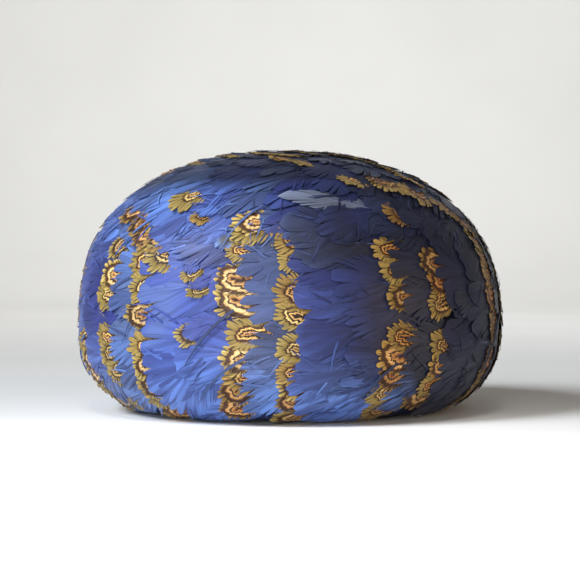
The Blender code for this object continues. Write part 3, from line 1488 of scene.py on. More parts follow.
@dataclass(frozen=True)
class PlumeFinish:
    """A dyed, silky plume with fine barbs, royal blue on one side of the hat and charcoal on the other, the
    charcoal partly dye and partly painted shade.
    """

    name: str
    deep: Colour
    middle: Colour
    light: Colour
    worn: Colour
    # edge: a painted highlight along the margins; on the olive plumes a blue margin of their own
    edge: Colour
    # charcoal: partly the dye, partly painted shade on the right and over the crown
    charcoal: Colour = (0.0075, 0.0078, 0.0140)
    # stray: loose barbs paler than the vane, partly a painted highlight of barbs catching light
    stray: Colour = (0.10, 0.15, 0.38)
    # split: painted shadow in the partings between tufts
    split: Colour = (0.004, 0.005, 0.014)
    shaft: Colour = (0.10, 0.14, 0.38)
    # painted light: the paler blue laid high on the left and over the rim
    painted_light_colour: Colour = (0.115, 0.225, 0.580)
    edge_start: float = 0.88
    edge_share: float = 0.70
    shaftless: float = 0.45  # how many of them show no shaft
    barbs: float = 80.0
    roughness: float = 0.46
    sheen: float = 0.14
    sheen_tint: Colour = (0.50, 0.62, 1.0)
    relief: float = 0.00015

    def dye(self, wiring: Wiring, effects: Effects, streaks: Any, drift: Any) -> Any:
        """Adds the nodes of its colour.

        Args:
            wiring: The material's wiring.
            effects: The shared node groups.
            streaks: The barb streaks' sockets.
            drift: The sockets of the dye's drift, its charcoal with painted shade, and its painted light.

        Returns:
            The colour's socket.
        """
        dyes = ((0.08, self.deep), (0.45, self.middle), (0.80, self.light), (0.97, self.worn))
        dye = wiring.ramp(drift["Drift"], dyes)
        out = effects.vane_place(wiring)[1]
        chance = effects.chance(wiring, 7.31)
        # Painted highlight: a paler rim along the margins of some feathers; the olive plumes' blue margin is
        # their own colour.
        edge = wiring.spread(out, self.edge_start, 1.0, 0.0, self.edge_share)
        edged = wiring.spread(effects.chance(wiring, 13.7), 0.2, 0.8, 0.15, 1.0)
        dye = wiring.mix(wiring.times(edge, edged), dye, self.edge)
        # Charcoal, partly dye and partly painted shade, on the right and over the crown.
        dye = wiring.mix(wiring.times(drift["Charcoal"], 0.92), dye, self.charcoal)
        # Painted light high on the left and over the rim, broken by the barb strands.
        worn = wiring.times(drift["Worn"], wiring.spread(streaks["Strand"], 0.2, 0.8, 0.35, 0.85))
        dye = wiring.mix(worn, dye, self.painted_light_colour)
        strand = wiring.spread(streaks["Strand"], 0.0, 1.0, 0.78, 1.16)
        streak = wiring.spread(streaks["Streak"], 0.0, 1.0, 0.84, 1.12)
        dye = wiring.mix(1.0, dye, wiring.grey(wiring.times(strand, streak)), "MULTIPLY")
        plump = wiring.attribute(PLUMP)
        # Painted shadow: near black in the partings between tufts.
        parted = wiring.spread(plump, 0.0, 0.20, 0.75, 0.0)
        dye = wiring.mix(wiring.times(parted, wiring.spread(out, 0.3, 0.5)), dye, self.split)
        chosen = wiring.math("GREATER_THAN", chance, self.shaftless)
        shaft = wiring.times(wiring.spread(out, 0.010, 0.035, 0.75, 0.0), chosen)
        shaft = wiring.times(shaft, wiring.spread(drift["Charcoal"], 0.0, 1.0, 1.0, 0.35))
        dye = wiring.mix(shaft, dye, self.shaft)
        # Loose barbs paler, partly a painted highlight, less so under the painted shade.
        stray = wiring.spread(plump, 1.2, 1.8)
        stray = wiring.times(stray, wiring.spread(drift["Charcoal"], 0.0, 1.0, 1.0, 0.25))
        return wiring.mix(stray, dye, self.stray)

    def build(self, effects: Effects) -> bpy.types.Material:
        """Makes the material.

        Args:
            effects: The shared node groups.

        Returns:
            The material.
        """
        material, wiring, shader = start_material(self.name)
        streaks = effects.streaks(wiring, self.barbs, 1.2)
        drift = effects.drifted(wiring)
        height = streaks["Height"]
        bump = wiring.add("ShaderNodeBump", {"Strength": 0.6, "Distance": self.relief, "Height": height})
        wiring.fill(shader, {
            "Base Color": self.dye(wiring, effects, streaks, drift),
            "Roughness": wiring.spread(height, 0.0, 1.0, self.roughness + 0.10, self.roughness - 0.06),
            "Normal": bump.outputs[0],
            "Sheen Weight": wiring.spread(drift["Charcoal"], 0.0, 1.0, self.sheen, 0.3 * self.sheen),
            "Sheen Roughness": 0.35,
            "Sheen Tint": (*self.sheen_tint, 1.0),
            "Specular IOR Level": 0.30,
        })
        return material


@dataclass(frozen=True)
class BarredFinish:
    """A pheasant's barred tip: an olive-gold margin round dark and cream crescents."""

    name: str = "barred_gold"
    sunburst: tuple[tuple[float, Colour], ...] = (
        (0.00, (0.020, 0.010, 0.006)),
        (0.06, (0.030, 0.014, 0.007)),
        (0.09, (0.62, 0.36, 0.12)),
        (0.15, (0.70, 0.43, 0.15)),
        (0.18, (0.012, 0.008, 0.006)),
        (0.26, (0.020, 0.010, 0.006)),
        (0.29, (0.74, 0.49, 0.14)),
        (0.36, (0.82, 0.60, 0.24)),
        (0.39, (0.060, 0.024, 0.009)),
        (0.47, (0.030, 0.013, 0.007)),
        (0.51, (0.19, 0.115, 0.022)),
        (0.74, (0.35, 0.25, 0.060)),
        (1.00, (0.50, 0.37, 0.12)),
    )
    crescent: tuple[tuple[float, Colour], ...] = (
        (0.00, (0.040, 0.016, 0.008)),
        (0.10, (0.34, 0.15, 0.045)),
        (0.20, (0.66, 0.38, 0.13)),
        (0.26, (0.060, 0.026, 0.012)),
        (0.33, (0.040, 0.018, 0.009)),
        (0.37, (0.72, 0.47, 0.20)),
        (0.45, (0.75, 0.52, 0.24)),
        (0.51, (0.62, 0.37, 0.11)),
        (0.55, (0.090, 0.036, 0.014)),
        (0.74, (0.042, 0.018, 0.009)),
        (0.80, (0.30, 0.19, 0.045)),
        (1.00, (0.48, 0.36, 0.11)),
    )
    olive: Colour = (0.25, 0.178, 0.050)
    rust: Colour = (0.80, 0.46, 0.20)
    # split: painted shadow in the partings between tufts
    split: Colour = (0.026, 0.015, 0.007)
    shade: Colour = (0.66, 0.46, 0.28)  # painted shade: what the tips are multiplied by where the plumes turn charcoal, on the right and the crown
    stray: Colour = (0.34, 0.26, 0.13)
    sunbursts: float = 0.64  # how many tips have the sunburst, and not the crescent
    plain: float = 0.62  # how many have no rust in them
    barbs: float = 42.0

    def build(self, effects: Effects) -> bpy.types.Material:
        """Makes the material.

        Args:
            effects: The shared node groups.

        Returns:
            The material.
        """
        material, wiring, shader = start_material(self.name)
        streaks = effects.streaks(wiring, self.barbs, 1.4)
        out = effects.vane_place(wiring)[1]
        chance = effects.chance(wiring, 5.17)
        sway = wiring.spread(streaks["Strand"], 0.0, 1.0, -0.075, 0.075)
        fray = wiring.spread(streaks["Streak"], 0.0, 1.0, -0.03, 0.03)
        own = wiring.spread(effects.chance(wiring, 3.77), 0.0, 1.0, -0.06, 0.10)
        band = wiring.math("ADD", wiring.plus(out, sway), wiring.plus(fray, own), clamp=True)
        bold = wiring.math("GREATER_THAN", chance, self.sunbursts)
        colour = wiring.mix(bold, wiring.ramp(band, self.sunburst), wiring.ramp(band, self.crescent))
        tone = wiring.attribute(TONE)
        rusty = wiring.math("GREATER_THAN", effects.chance(wiring, 11.3), self.plain)
        colour = wiring.mix(wiring.times(rusty, 0.5), colour, self.rust, "MULTIPLY")
        # Painted shade: the tips darken where the plumes turn charcoal, on the right and the crown.
        shaded = wiring.times(effects.drifted(wiring)["Charcoal"], 0.72)
        colour = wiring.mix(shaded, colour, self.shade, "MULTIPLY")
        worn = wiring.spread(tone, 0.0, 1.0, 0.62, 1.05)
        colour = wiring.mix(1.0, colour, wiring.grey(worn), "MULTIPLY")
        fine = wiring.math("SUBTRACT", 1.0, bold)
        margin = wiring.times(wiring.spread(band, 0.52, 0.60), fine)
        colour = wiring.mix(wiring.times(margin, tone), colour, self.olive)
        plump = wiring.attribute(PLUMP)
        # Painted shadow: dark brown in the partings between tufts.
        parted = wiring.spread(plump, 0.10, 0.36, 0.9, 0.0)
        parted = wiring.times(parted, wiring.spread(out, 0.40, 0.55))
        colour = wiring.mix(parted, colour, self.split)
        streak = wiring.spread(streaks["Streak"], 0.0, 1.0, 0.52, 1.28)
        colour = wiring.mix(1.0, colour, wiring.grey(streak), "MULTIPLY")
        colour = wiring.mix(wiring.spread(plump, 1.2, 1.8), colour, self.stray)
        height = streaks["Height"]
        bump = wiring.add("ShaderNodeBump", {"Strength": 0.8, "Distance": 0.0003, "Height": height})
        wiring.fill(shader, {
            "Base Color": colour,
            "Roughness": wiring.spread(height, 0.0, 1.0, 0.62, 0.42),
            "Normal": bump.outputs[0],
            "Sheen Weight": 0.03,
            "Specular IOR Level": 0.25,
        })
        return material


@dataclass(frozen=True)
class FeltFinish:
    """Matte navy felt, a little uneven."""

    name: str = "navy_felt"
    dark: Colour = (0.010, 0.012, 0.038)
    pale: Colour = (0.024, 0.029, 0.084)
    charcoal: Colour = (0.008, 0.009, 0.014)

    def build(self, effects: Effects) -> bpy.types.Material:
        """Makes the material, which follows the charcoal dye and painted shade of the feathers over it.

        Args:
            effects: The shared node groups.

        Returns:
            The material.
        """
        material, wiring, shader = start_material(self.name)
        here = wiring.add("ShaderNodeTexCoord").outputs["Object"]
        fibre = wiring.noise(here, 900.0, 4.0)
        cloud = wiring.noise(here, 40.0, 3.0)
        both = wiring.plus(wiring.times(fibre, 0.6), wiring.times(cloud, 0.4))
        charcoal = effects.drifted(wiring)["Charcoal"]
        colour = wiring.ramp(both, ((0.38, self.dark), (0.62, self.pale)))
        wiring.fill(shader, {
            # Painted shade with the feathers' charcoal: the felt darkens under it too.
            "Base Color": wiring.mix(charcoal, colour, self.charcoal),
            "Roughness": wiring.spread(both, 0.3, 0.7, 0.98, 0.85),
            "Normal": wiring.add("ShaderNodeBump", {"Distance": 0.0006, "Height": fibre}).outputs[0],
            "Sheen Weight": wiring.spread(charcoal, 0.0, 1.0, 0.2, 0.03),
            "Sheen Roughness": 0.6,
            "Sheen Tint": (0.20, 0.26, 0.80, 1.0),
            "Specular IOR Level": 0.1,
        })
        return material


@dataclass
class FeltShell:
    """The hollow felt shell that carries the feathers, open below."""

    outer_depth: float = 0.0032
    thickness: float = 0.0020
    edge_height: float = 0.0026
    columns: int = 128
    rows: int = 60

    def last_part(self, depth: float) -> float:
        """Where on the lower curve a skin ends, clear of the feathers turned in under it.

        Args:
            depth: How far the skin lies in from the feathers' outer face.

        Returns:
            The part of the curve, from 0 at the widest level to 1 at the rim.
        """
        low, high = 0.0, 1.0
        for _ in range(30):
            middle = (low + high) / 2.0
            if FORM.under_curve(middle, depth)[1] > self.edge_height:
                low = middle
            else:
                high = middle
        return low

    def skin(self, depth: float) -> list[Vector]:
        """The points of one skin.

        Args:
            depth: How far it lies in from the feathers' outer face.

        Returns:
            Its middle point first and then the others, ring by ring.
        """
        last = WIDEST_SHARE + (1.0 - WIDEST_SHARE) * self.last_part(depth)
        points = [hat_point(0.0, 0.0, depth)]
        for row in range(1, self.rows + 1):
            share = last * row / self.rows
            points += [
                hat_point(2.0 * math.pi * i / self.columns, share, depth) for i in range(self.columns)
            ]
        return points

    def build(self, finish: bpy.types.Material) -> bpy.types.Object:
        """Makes the piece.

        Args:
            finish: Its material.

        Returns:
            The piece.
        """
        outer = self.skin(self.outer_depth)
        inner = self.skin(self.outer_depth + self.thickness)
        count = len(outer)
        edge = count - self.columns
        faces = round_faces(self.columns, self.rows)
        faces += [tuple(number + count for number in reversed(ring)) for ring in faces]
        for i in range(self.columns):
            j = (i + 1) % self.columns
            faces.append((edge + i, count + edge + i, count + edge + j, edge + j))
        mesh = bpy.data.meshes.new("felt_shell_dressed")
        mesh.from_pydata(outer + inner, [], faces)
        mesh.update()
        mesh.materials.append(finish)
        return add_piece("felt_shell_dressed", mesh, "felt", "felt_shell")


BARRED_VANE = Vane(
    name="barred",
    length=0.032,
    half_width=0.0108,
    tip_length=0.0105,
    tip_squareness=2.1,
    fan_length=0.0125,
    sweep=1.0,
    shown=0.020,
    tufts=8,
    levels=(0.0, 0.42, 0.66, 0.85, 1.0),
    split_chance=0.85,
    split_depths=(0.12, 0.46),
    pinch=0.13,
    point=0.07,
    ragged=0.17,
    slope=0.066,
    ridge=0.00018,
    flutter=0.00045,
    shaft_height=0.0,
    variants=16,
)
STRAND = Strand(name="strand", length=0.0085, width=0.00022, bend=0.0036)
WISP = Strand(
    name="wisp",
    length=0.0140,
    width=0.00120,
    bend=0.0034,
    rise=0.00040,
    sink=0.00070,
    plump=1.0,
    variants=10,
)
QUILL = Strand(
    name="quill",
    length=0.046,
    width=0.00170,
    bend=0.0110,
    rise=0.00010,
    sink=0.00080,
    thickness=0.00080,
    plump=1.0,
    lengths=(0.8, 1.1),
    bends=(0.5, 1.0),
    steps=14,
    variants=6,
)
PLUME_VANE = Vane(
    name="plume",
    length=0.040,
    half_width=0.0158,
    tip_length=0.0175,
    tip_squareness=2.15,
    fan_length=0.0210,
    sweep=1.55,
    shown=0.030,
    tufts=10,
    levels=(0.0, 0.07, 0.35, 0.62, 0.84, 1.0),
    split_chance=0.80,
    split_depths=(0.08, 0.42),
    pinch=0.26,
    point=0.07,
    ragged=0.085,
    slope=0.058,
    camber=0.00045,
    ridge=0.00004,
    shaft_height=0.00030,
    variants=10,
)
LONG_VANE = Vane(
    name="long_plume",
    length=0.064,
    half_width=0.0166,
    tip_length=0.0225,
    tip_squareness=2.05,
    fan_length=0.0260,
    sweep=1.75,
    shown=0.050,
    tufts=13,
    levels=(0.0, 0.07, 0.35, 0.62, 0.84, 1.0),
    split_chance=0.55,
    split_depths=(0.06, 0.42),
    pinch=0.22,
    point=0.06,
    ragged=0.055,
    slope=0.040,
    camber=0.00050,
    ridge=0.00004,
    shaft_height=0.00035,
    variants=12,
)
HACKLE_VANE = Vane(
    name="hackle",
    length=0.070,
    half_width=0.0108,
    tip_length=0.0300,
    tip_squareness=1.75,
    fan_length=0.0320,
    sweep=2.3,
    shown=0.056,
    tufts=9,
    levels=(0.0, 0.08, 0.35, 0.62, 0.84, 1.0),
    root_width=0.75,
    split_chance=0.60,
    split_depths=(0.20, 0.85),
    pinch=0.16,
    point=0.05,
    ragged=0.035,
    slope=0.038,
    camber=0.00060,
    ridge=0.00004,
    shaft_height=0.00035,
    variants=12,
)


@dataclass(frozen=True)
class Spot:
    """One feather's place away from the courses' own rows."""

    bearing: float  # in degrees
    share: float
    slant: float  # in degrees
    size: float

    def laid(
        self,
        stock: FeatherStock,
        random: np.random.Generator,
        seat: float,
        steep: float,
        stretch: float = 1.0,
    ) -> Laid:
        """The feather's place, with a cut picked by chance.

        Args:
            stock: The drawer that it comes from.
            random: Picks the cut.
            seat: Its height over the hat's face.
            steep: How much its root sinks, over its kind's own at full size.
            stretch: Its length over its width, beside the kind's own.

        Returns:
            The place.
        """
        return Laid(
            math.radians(self.bearing),
            self.share,
            math.radians(self.slant),
            size=self.size,
            stretch=stretch,
            seat=seat,
            steep=steep / self.size,
            pick=int(random.integers(stock.kind.variants)),
        )


FRONT_REACH = (-62.0, 76.0)  # bearings between which the spots below stand for chance ones
FRONT_TIPS = (
    Spot(-38.0, 0.440, 48.0, 1.00),
    Spot(-50.0, 0.515, 52.0, 0.80),
    Spot(-47.0, 0.545, 38.0, 0.95),
    Spot(-41.0, 0.560, 30.0, 0.90),
    Spot(-40.0, 0.590, 24.0, 1.00),
    Spot(-59.0, 0.480, 50.0, 0.80),
    Spot(-9.0, 0.205, 30.0, 0.80),
    Spot(2.0, 0.235, 24.0, 0.60),
    Spot(20.0, 0.345, 26.0, 0.80),
    Spot(33.0, 0.350, 34.0, 0.90),
    Spot(36.0, 0.385, 50.0, 1.00),
    Spot(43.0, 0.395, 36.0, 1.00),
    Spot(55.0, 0.455, 40.0, 0.90),
    Spot(63.0, 0.510, 44.0, 1.00),
    Spot(62.0, 0.548, 34.0, 0.90),
    Spot(49.0, 0.240, 30.0, 0.74),
    Spot(51.0, 0.268, 38.0, 0.80),
    Spot(52.0, 0.298, 32.0, 0.80),
    Spot(53.0, 0.330, 44.0, 0.84),
    Spot(-15.0, 0.500, 30.0, 0.84),
    Spot(-15.5, 0.535, 24.0, 0.92),
    Spot(-73.5, 0.770, 10.0, 0.84),
    Spot(-72.5, 0.815, 18.0, 0.92),
    Spot(-71.5, 0.860, 26.0, 0.88),
    Spot(-71.0, 0.905, 30.0, 0.90),
    Spot(-68.0, 0.950, 34.0, 0.84),
)
COVERED_TIPS = (
    Spot(-28.5, 0.748, 14.0, 0.60),
    Spot(-27.0, 0.640, 56.0, 0.50),
    Spot(-25.5, 0.670, 40.0, 0.42),
    Spot(-28.0, 0.485, 44.0, 0.62),
    Spot(29.0, 0.470, 10.0, 0.90),
)
PALE_PLUMES = (
    Spot(-3.0, 0.405, 2.0, 0.72),
    Spot(128.0, 0.420, 14.0, 0.70),
    Spot(-104.0, 0.440, 24.0, 0.70),
)
BROAD_PLUMES = (
    Spot(-2.0, 0.500, 4.0, 0.95),
    Spot(0.0, 0.555, 6.0, 1.05),
    Spot(45.5, 0.690, 8.0, 0.66),
    Spot(-151.0, 0.520, 18.0, 0.95),
    Spot(97.0, 0.510, 20.0, 0.90),
)
BARE_SHAFTS = (
    Spot(-28.0, 0.860, 24.0, 1.05),
    Spot(-28.5, 0.765, 30.0, 1.00),
    Spot(-54.0, 0.560, 44.0, 0.80),
    Spot(16.0, 0.860, 26.0, 0.80),
    Spot(58.0, 0.800, 30.0, 0.90),
    Spot(-20.0, 0.540, 50.0, 0.75),
    Spot(86.0, 0.720, 18.0, 0.70),
    Spot(-86.0, 0.820, 26.0, 1.00),
    Spot(-95.0, 0.620, 40.0, 0.85),
    Spot(128.0, 0.840, 26.0, 1.00),
    Spot(150.0, 0.620, 36.0, 0.90),
    Spot(-160.0, 0.900, 28.0, 0.95),
    Spot(-140.0, 0.700, 32.0, 0.90),
    Spot(178.0, 0.740, 26.0, 0.90),
)
OLIVE_PLUMES = (
    Spot(-19.0, 0.560, 54.0, 0.34),
    Spot(-14.0, 0.500, 50.0, 0.38),
    Spot(74.0, 0.480, 40.0, 0.34),
    Spot(118.0, 0.560, 48.0, 0.36),
    Spot(-128.0, 0.500, 50.0, 0.36),
    Spot(176.0, 0.450, 44.0, 0.34),
)


@dataclass(frozen=True)
class Ring:
    """A ring of plumes on the shoulder or crown."""

    share: float
    per_repeat: int
    size: float
    slant: float  # in degrees


@dataclass
class Courses:
    """The courses round the hat: pairs of barred columns with plumes between, closing over the crown."""

    layer: Layer
    barred: FeatherStock
    plumes: FeatherStock
    long_plumes: FeatherStock
    hackles: FeatherStock
    strands: FeatherStock
    wisps: FeatherStock
    quills: FeatherStock
    finishes: dict[Course, bpy.types.Material]
    pale: bpy.types.Material
    olive: bpy.types.Material
    highest_tip_share: float = 0.10  # above it no barred tip is laid
    front_share: float = 0.20  # below it the front has its own tips in place of chance ones
    first_tip_share: float = 0.52
    first_plume_share: float = 0.50
    barred_rows: int = 16
    slate_rows: int = 11
    blue_rows: int = 13
    sparse: float = 0.42  # how many of the barred tips above the columns stay
    missing: float = 0.03  # how many of the barred tips in the columns are left out
    tip_sizes: tuple[float, float] = (0.72, 0.96)
    reach: float = 0.042  # how far barred tips reach out of their own course, over the pitch
    overlap: float = 0.044  # how far plumes reach over the barred tips beside them, over the pitch
    rings: tuple[Ring, ...] = (
        Ring(0.520, 4, 0.86, 40.0),
        Ring(0.455, 3, 1.00, 47.0),
        Ring(0.385, 3, 1.00, 47.0),
        Ring(0.310, 2, 0.95, 46.0),
        Ring(0.235, 2, 1.00, 52.0),
        Ring(0.165, 1, 1.10, 56.0),
        Ring(0.110, 1, 0.84, 60.0),
    )
    long_rings: int = 4  # how many rings, from the lowest, are of long plumes and hackles
    hackle_share: float = 0.55  # how many of those are hackles

    def slant(self, share: float) -> float:
        """How far feathers' tips turn down from level.

        Args:
            share: The share of the way down where they lie.

        Returns:
            The angle, in radians.
        """
        rim = smooth_step((share - 0.78) / 0.18)
        shoulder = smooth_step((0.64 - share) / 0.2)
        return math.radians(4.0 + 30.0 * rim + 34.0 * shoulder)

    def column(
        self, repeat: int, rows: int, within: float, phase: float, stock: FeatherStock, seed: int,
        kept: float = 1.0, sway: float = 0.9, sizes: tuple[float, float] = (1.0, 1.0), stretch: float = 1.0,
    ) -> list[Laid]:
        """The places of one column of feathers down the side.

        Args:
            repeat: Its repeat, from 0.
            rows: How many feathers the whole course would have from crown to rim.
            within: Where its tips lie across the repeat, from 0 to 1.
            phase: How far the rows are moved, over their pitch.
            stock: The drawer that they come from.
            seed: Fixes what is random.
            kept: How many of them are laid, over all.
            sway: How far they stray to either side, in degrees.
            sizes: The smallest and the largest of them, over their kind's size.
            stretch: Their length over their width, beside the kind's own.

        Returns:
            The places, from the top down.
        """
        random = np.random.default_rng(seed)
        first = self.first_tip_share if stock is self.barred else self.first_plume_share
        laid = []
        for row in range(rows + 1):
            share = PLAN.row_share(row, rows, phase)
            left_out = random.random() > kept
            if left_out or not first <= share <= PLAN.end_share + 0.012:
                continue
            bearing = PLAN.edge(repeat, within, share) + math.radians(random.uniform(-sway, sway))
            share += random.uniform(-0.006, 0.006)
            size = random.uniform(*sizes)
            laid.append(Laid(
                bearing=bearing + 0.09 * (1.0 - size),
                share=min(share, 0.998),
                slant=self.slant(share) + math.radians(random.uniform(-8.0, 8.0)),
                size=size,
                stretch=stretch,
                pick=int(random.integers(stock.kind.variants)),
            ))
        return laid

    def sparse_tips(self, course: Course, repeat: int) -> list[Laid]:
        """The places of the scattered barred tips above a column, the topmost always kept.

        Args:
            course: The column's course.
            repeat: Its repeat, from 0.

        Returns:
            The places, from the top down.
        """
        within = PLAN.start(course) - self.reach
        phase = 0.0 if course is Course.BARRED_A else 0.5
        random = np.random.default_rng(100 * repeat + 7 + list(Course).index(course))
        laid = []
        for row in range(self.barred_rows):
            share = PLAN.row_share(row, self.barred_rows, phase)
            bearing = PLAN.edge(repeat, within, share) + math.radians(random.uniform(-2.0, 2.0))
            kept = row <= 1 or random.random() < self.sparse
            degrees = (math.degrees(bearing) + 180.0) % 360.0 - 180.0
            front = share > self.front_share and FRONT_REACH[0] < degrees < FRONT_REACH[1]
            if front or not kept or not self.highest_tip_share <= share < self.first_tip_share:
                continue
            laid.append(Laid(
                bearing=bearing,
                share=share,
                slant=self.slant(share) + math.radians(random.uniform(-18.0, 12.0)),
                size=min(1.0, 0.50 + 1.2 * share),
                seat=0.0004,
                steep=1.3,
                pick=int(random.integers(self.barred.kind.variants)),
            ))
        return laid

    def crown(self, repeat: int, places: Iterable[tuple[int, int]], seed: int) -> list[Load]:
        """Plumes on the shoulder and crown.

        Args:
            repeat: The repeat that they stand in, from 0.
            places: The number of the ring and the place in it of each plume.
            seed: Fixes what is random.

        Returns:
            The loads of each kind of plume.
        """
        random = np.random.default_rng(seed)
        loads = [Load([], stock) for stock in (self.long_plumes, self.hackles, self.plumes)]
        for number, place in places:
            ring = self.rings[number]
            kind = int(random.random() < self.hackle_share) if number < self.long_rings else 2
            within = (place + random.uniform(-0.2, 0.2)) / ring.per_repeat
            share = ring.share + random.uniform(-0.015, 0.015)
            laid = Laid(
                bearing=PLAN.edge(repeat, within, share),
                share=share,
                slant=math.radians(ring.slant + random.uniform(-14.0, 10.0)),
                size=ring.size * random.uniform(0.93, 1.06),
                stretch=1.08 if kind < 2 else 1.0,
                pick=int(random.integers(loads[kind].stock.kind.variants)),
            )
            loads[kind].laid.append(laid)
        return loads

    def strays(self, loads: Sequence[Load], chance: float, stock: FeatherStock, seed: int) -> Load:
        """Stray barbs or wisps at the margins of feathers.

        Args:
            loads: The feathers that they stand on.
            chance: How many of them a feather has.
            stock: The drawer that they come from.
            seed: Fixes what is random.

        Returns:
            Their load.
        """
        random = np.random.default_rng(seed)
        laid = []
        for load in loads:
            vane = load.stock.kind
            for feather in load.laid:
                for _ in range(random.poisson(chance)):
                    turn = random.uniform(-1.25, 1.25)
                    reach = random.uniform(0.0, 0.36 * stock.kind.length)
                    along = reach * math.cos(turn) - vane.tip_length * (1.0 - math.cos(turn)) * feather.size
                    across = (reach + vane.half_width * feather.size) * math.sin(turn)
                    laid.append(feather.moved(along, across, 0.7 * turn + random.uniform(-0.25, 0.25)))
                    laid[-1].size = random.uniform(0.7, 1.15)
                    laid[-1].seat = 0.0002
                    laid[-1].pick = int(random.integers(stock.kind.variants))
        return Load(laid, stock, lift_spread=0.0004, rumple=0.0, one_cell=True)

    def covers(self, tips: Sequence[Laid], seed: int) -> Load:
        """Plumes that cover the back of lone barred tips.

        Args:
            tips: The tips' places.
            seed: Fixes what is random.

        Returns:
            The plumes' load.
        """
        random = np.random.default_rng(seed)
        laid = []
        for tip in tips:
            across = random.uniform(-0.0025, 0.0025)
            plume = tip.moved(-0.0080 * tip.size, across, random.uniform(-0.25, 0.25))
            plume.size = 0.62 * tip.size
            plume.stretch = 1.3
            plume.seat = tip.seat + 0.0003
            plume.steep = 1.45 / plume.size
            plume.pick = int(random.integers(self.plumes.kind.variants))
            laid.append(plume)
        return Load(laid, self.plumes)

    def piece(
        self, course: Course, repeat: int, slot: str, loads: Sequence[Load], stray: float, wispy: float = 0.0
    ) -> None:
        """Lays the feathers of one course's solid and adds the piece.

        Args:
            course: The course.
            repeat: Its repeat, from 0.
            slot: The record's material slot.
            loads: The feathers.
            stray: How many stray barbs a feather has.
            wispy: How many wisps a feather has.
        """
        name = f"{course.value}_{repeat + 1}"
        seed = 1000 * repeat + 100 * list(Course).index(course)
        loads = [
            *loads,
            self.strays(loads, stray, self.strands, seed),
            self.strays(loads, wispy, self.wisps, seed + 1),
        ]
        mesh = self.layer.lay_all(f"{name}_dressed", loads, self.finishes[course], seed)
        add_piece(f"{name}_dressed", mesh, slot, name)

    def tips_load(self, laid: list[Laid]) -> Load:
        """Barred tips, which turn more than plumes do."""
        return Load(laid, self.barred, turn_spread=math.radians(16.0), size_spread=0.14, rumple=0.0004)

    def tips(self, course: Course, repeat: int, phase: float, seed: int) -> None:
        """Makes the piece of one course of barred tips.

        Args:
            course: The course.
            repeat: Its repeat, from 0.
            phase: How far its rows are moved, over their pitch.
            seed: Fixes what is random.
        """
        within = PLAN.start(course) - self.reach
        laid = self.column(
            repeat,
            self.barred_rows,
            within,
            phase,
            self.barred,
            seed,
            kept=1.0 - self.missing,
            sway=1.2,
            sizes=self.tip_sizes,
        )
        laid += self.sparse_tips(course, repeat)
        self.piece(course, repeat, "barred_tip", [self.tips_load(laid)], 0.4)

    def slate(self, repeat: int, seed: int) -> None:
        """Makes the piece of one course of slate plumes.

        Args:
            repeat: Its repeat, from 0.
            seed: Fixes what is random.
        """
        within = PLAN.start(Course.SLATE) - self.overlap
        laid = self.column(repeat, self.slate_rows, within, 0.25, self.plumes, seed, sway=1.8, stretch=1.1)
        covers = self.covers(self.sparse_tips(Course.BARRED_A, repeat)[::2], seed + 3)
        above = self.crown(repeat, [(number, 0) for number in (0, 1, 2, 3, 4, 6)], seed + 1)
        self.piece(Course.SLATE, repeat, "slate_plume", [Load(laid, self.plumes), *above, covers], 0.5, 3.0)

    def blue(self, repeat: int, seed: int) -> None:
        """Makes the piece of one course of blue plumes.

        Args:
            repeat: Its repeat, from 0.
            seed: Fixes what is random.
        """
        within = PLAN.start(Course.BLUE) - self.overlap
        stock = self.long_plumes
        laid = self.column(repeat, self.blue_rows, within, 0.0, stock, seed, sway=1.8, stretch=1.2)
        over = self.column(
            repeat, self.blue_rows, within + 0.24, 0.5, stock, seed + 1, kept=0.7, sway=2.5, stretch=1.1
        )
        covers = self.covers(self.sparse_tips(Course.BARRED_B, repeat)[1::2], seed + 3)
        places = [
            (number, place) for number, ring in enumerate(self.rings) for place in range(1, ring.per_repeat)
        ]
        above = self.crown(repeat, [*places, (5, 0)], seed + 2)
        self.piece(Course.BLUE, repeat, "blue_plume", [Load(laid + over, stock), *above, covers], 0.5, 3.0)

    def spots(self) -> None:
        """Makes the pieces of single feathers away from the rows."""
        random = np.random.default_rng(5)
        bare, covered = (
            [spot.laid(self.barred, random, seat=0.0010, steep=1.6) for spot in spots]
            for spots in (FRONT_TIPS, COVERED_TIPS)
        )
        loads = [self.tips_load(bare + covered)]
        loads += [self.strays(loads, 0.4, self.strands, 51)]
        mesh = self.layer.lay_all("front_tips", loads, self.finishes[Course.BARRED_A], 1492)
        add_piece("front_tips", mesh, "barred_tip")
        mesh = self.layer.lay_all("front_covers", [self.covers(covered, 58)], self.finishes[Course.BLUE], 978)
        add_piece("front_covers", mesh, "blue_plume")
        slate = self.finishes[Course.SLATE]
        groups = (
            ("pale_plumes", PALE_PLUMES, self.hackles, self.pale, 0.0012, 1.2, 1.15),
            ("broad_plumes", BROAD_PLUMES, self.long_plumes, slate, 0.0007, 1.3, 1.0),
            ("bare_shafts", BARE_SHAFTS, self.quills, slate, 0.0012, 0.9, 1.0),
            ("olive_plumes", OLIVE_PLUMES, self.plumes, self.olive, 0.0006, 1.3, 1.5),
        )
        for name, spots, stock, finish, seat, steep, stretch in groups:
            laid = [spot.laid(stock, random, seat=seat, steep=steep, stretch=stretch) for spot in spots]
            mesh = self.layer.lay_all(name, [Load(laid, stock)], finish, 952)
            add_piece(name, mesh, "slate_plume")

    def build(self) -> None:
        """Makes the pieces, one for each course's solid and six of single feathers."""
        for repeat in range(PLAN.repeats):
            seed = 100 * repeat
            self.tips(Course.BARRED_A, repeat, 0.0, seed)
            self.slate(repeat, seed + 10)
            self.tips(Course.BARRED_B, repeat, 0.5, seed + 20)
            self.blue(repeat, seed + 30)
        self.spots()


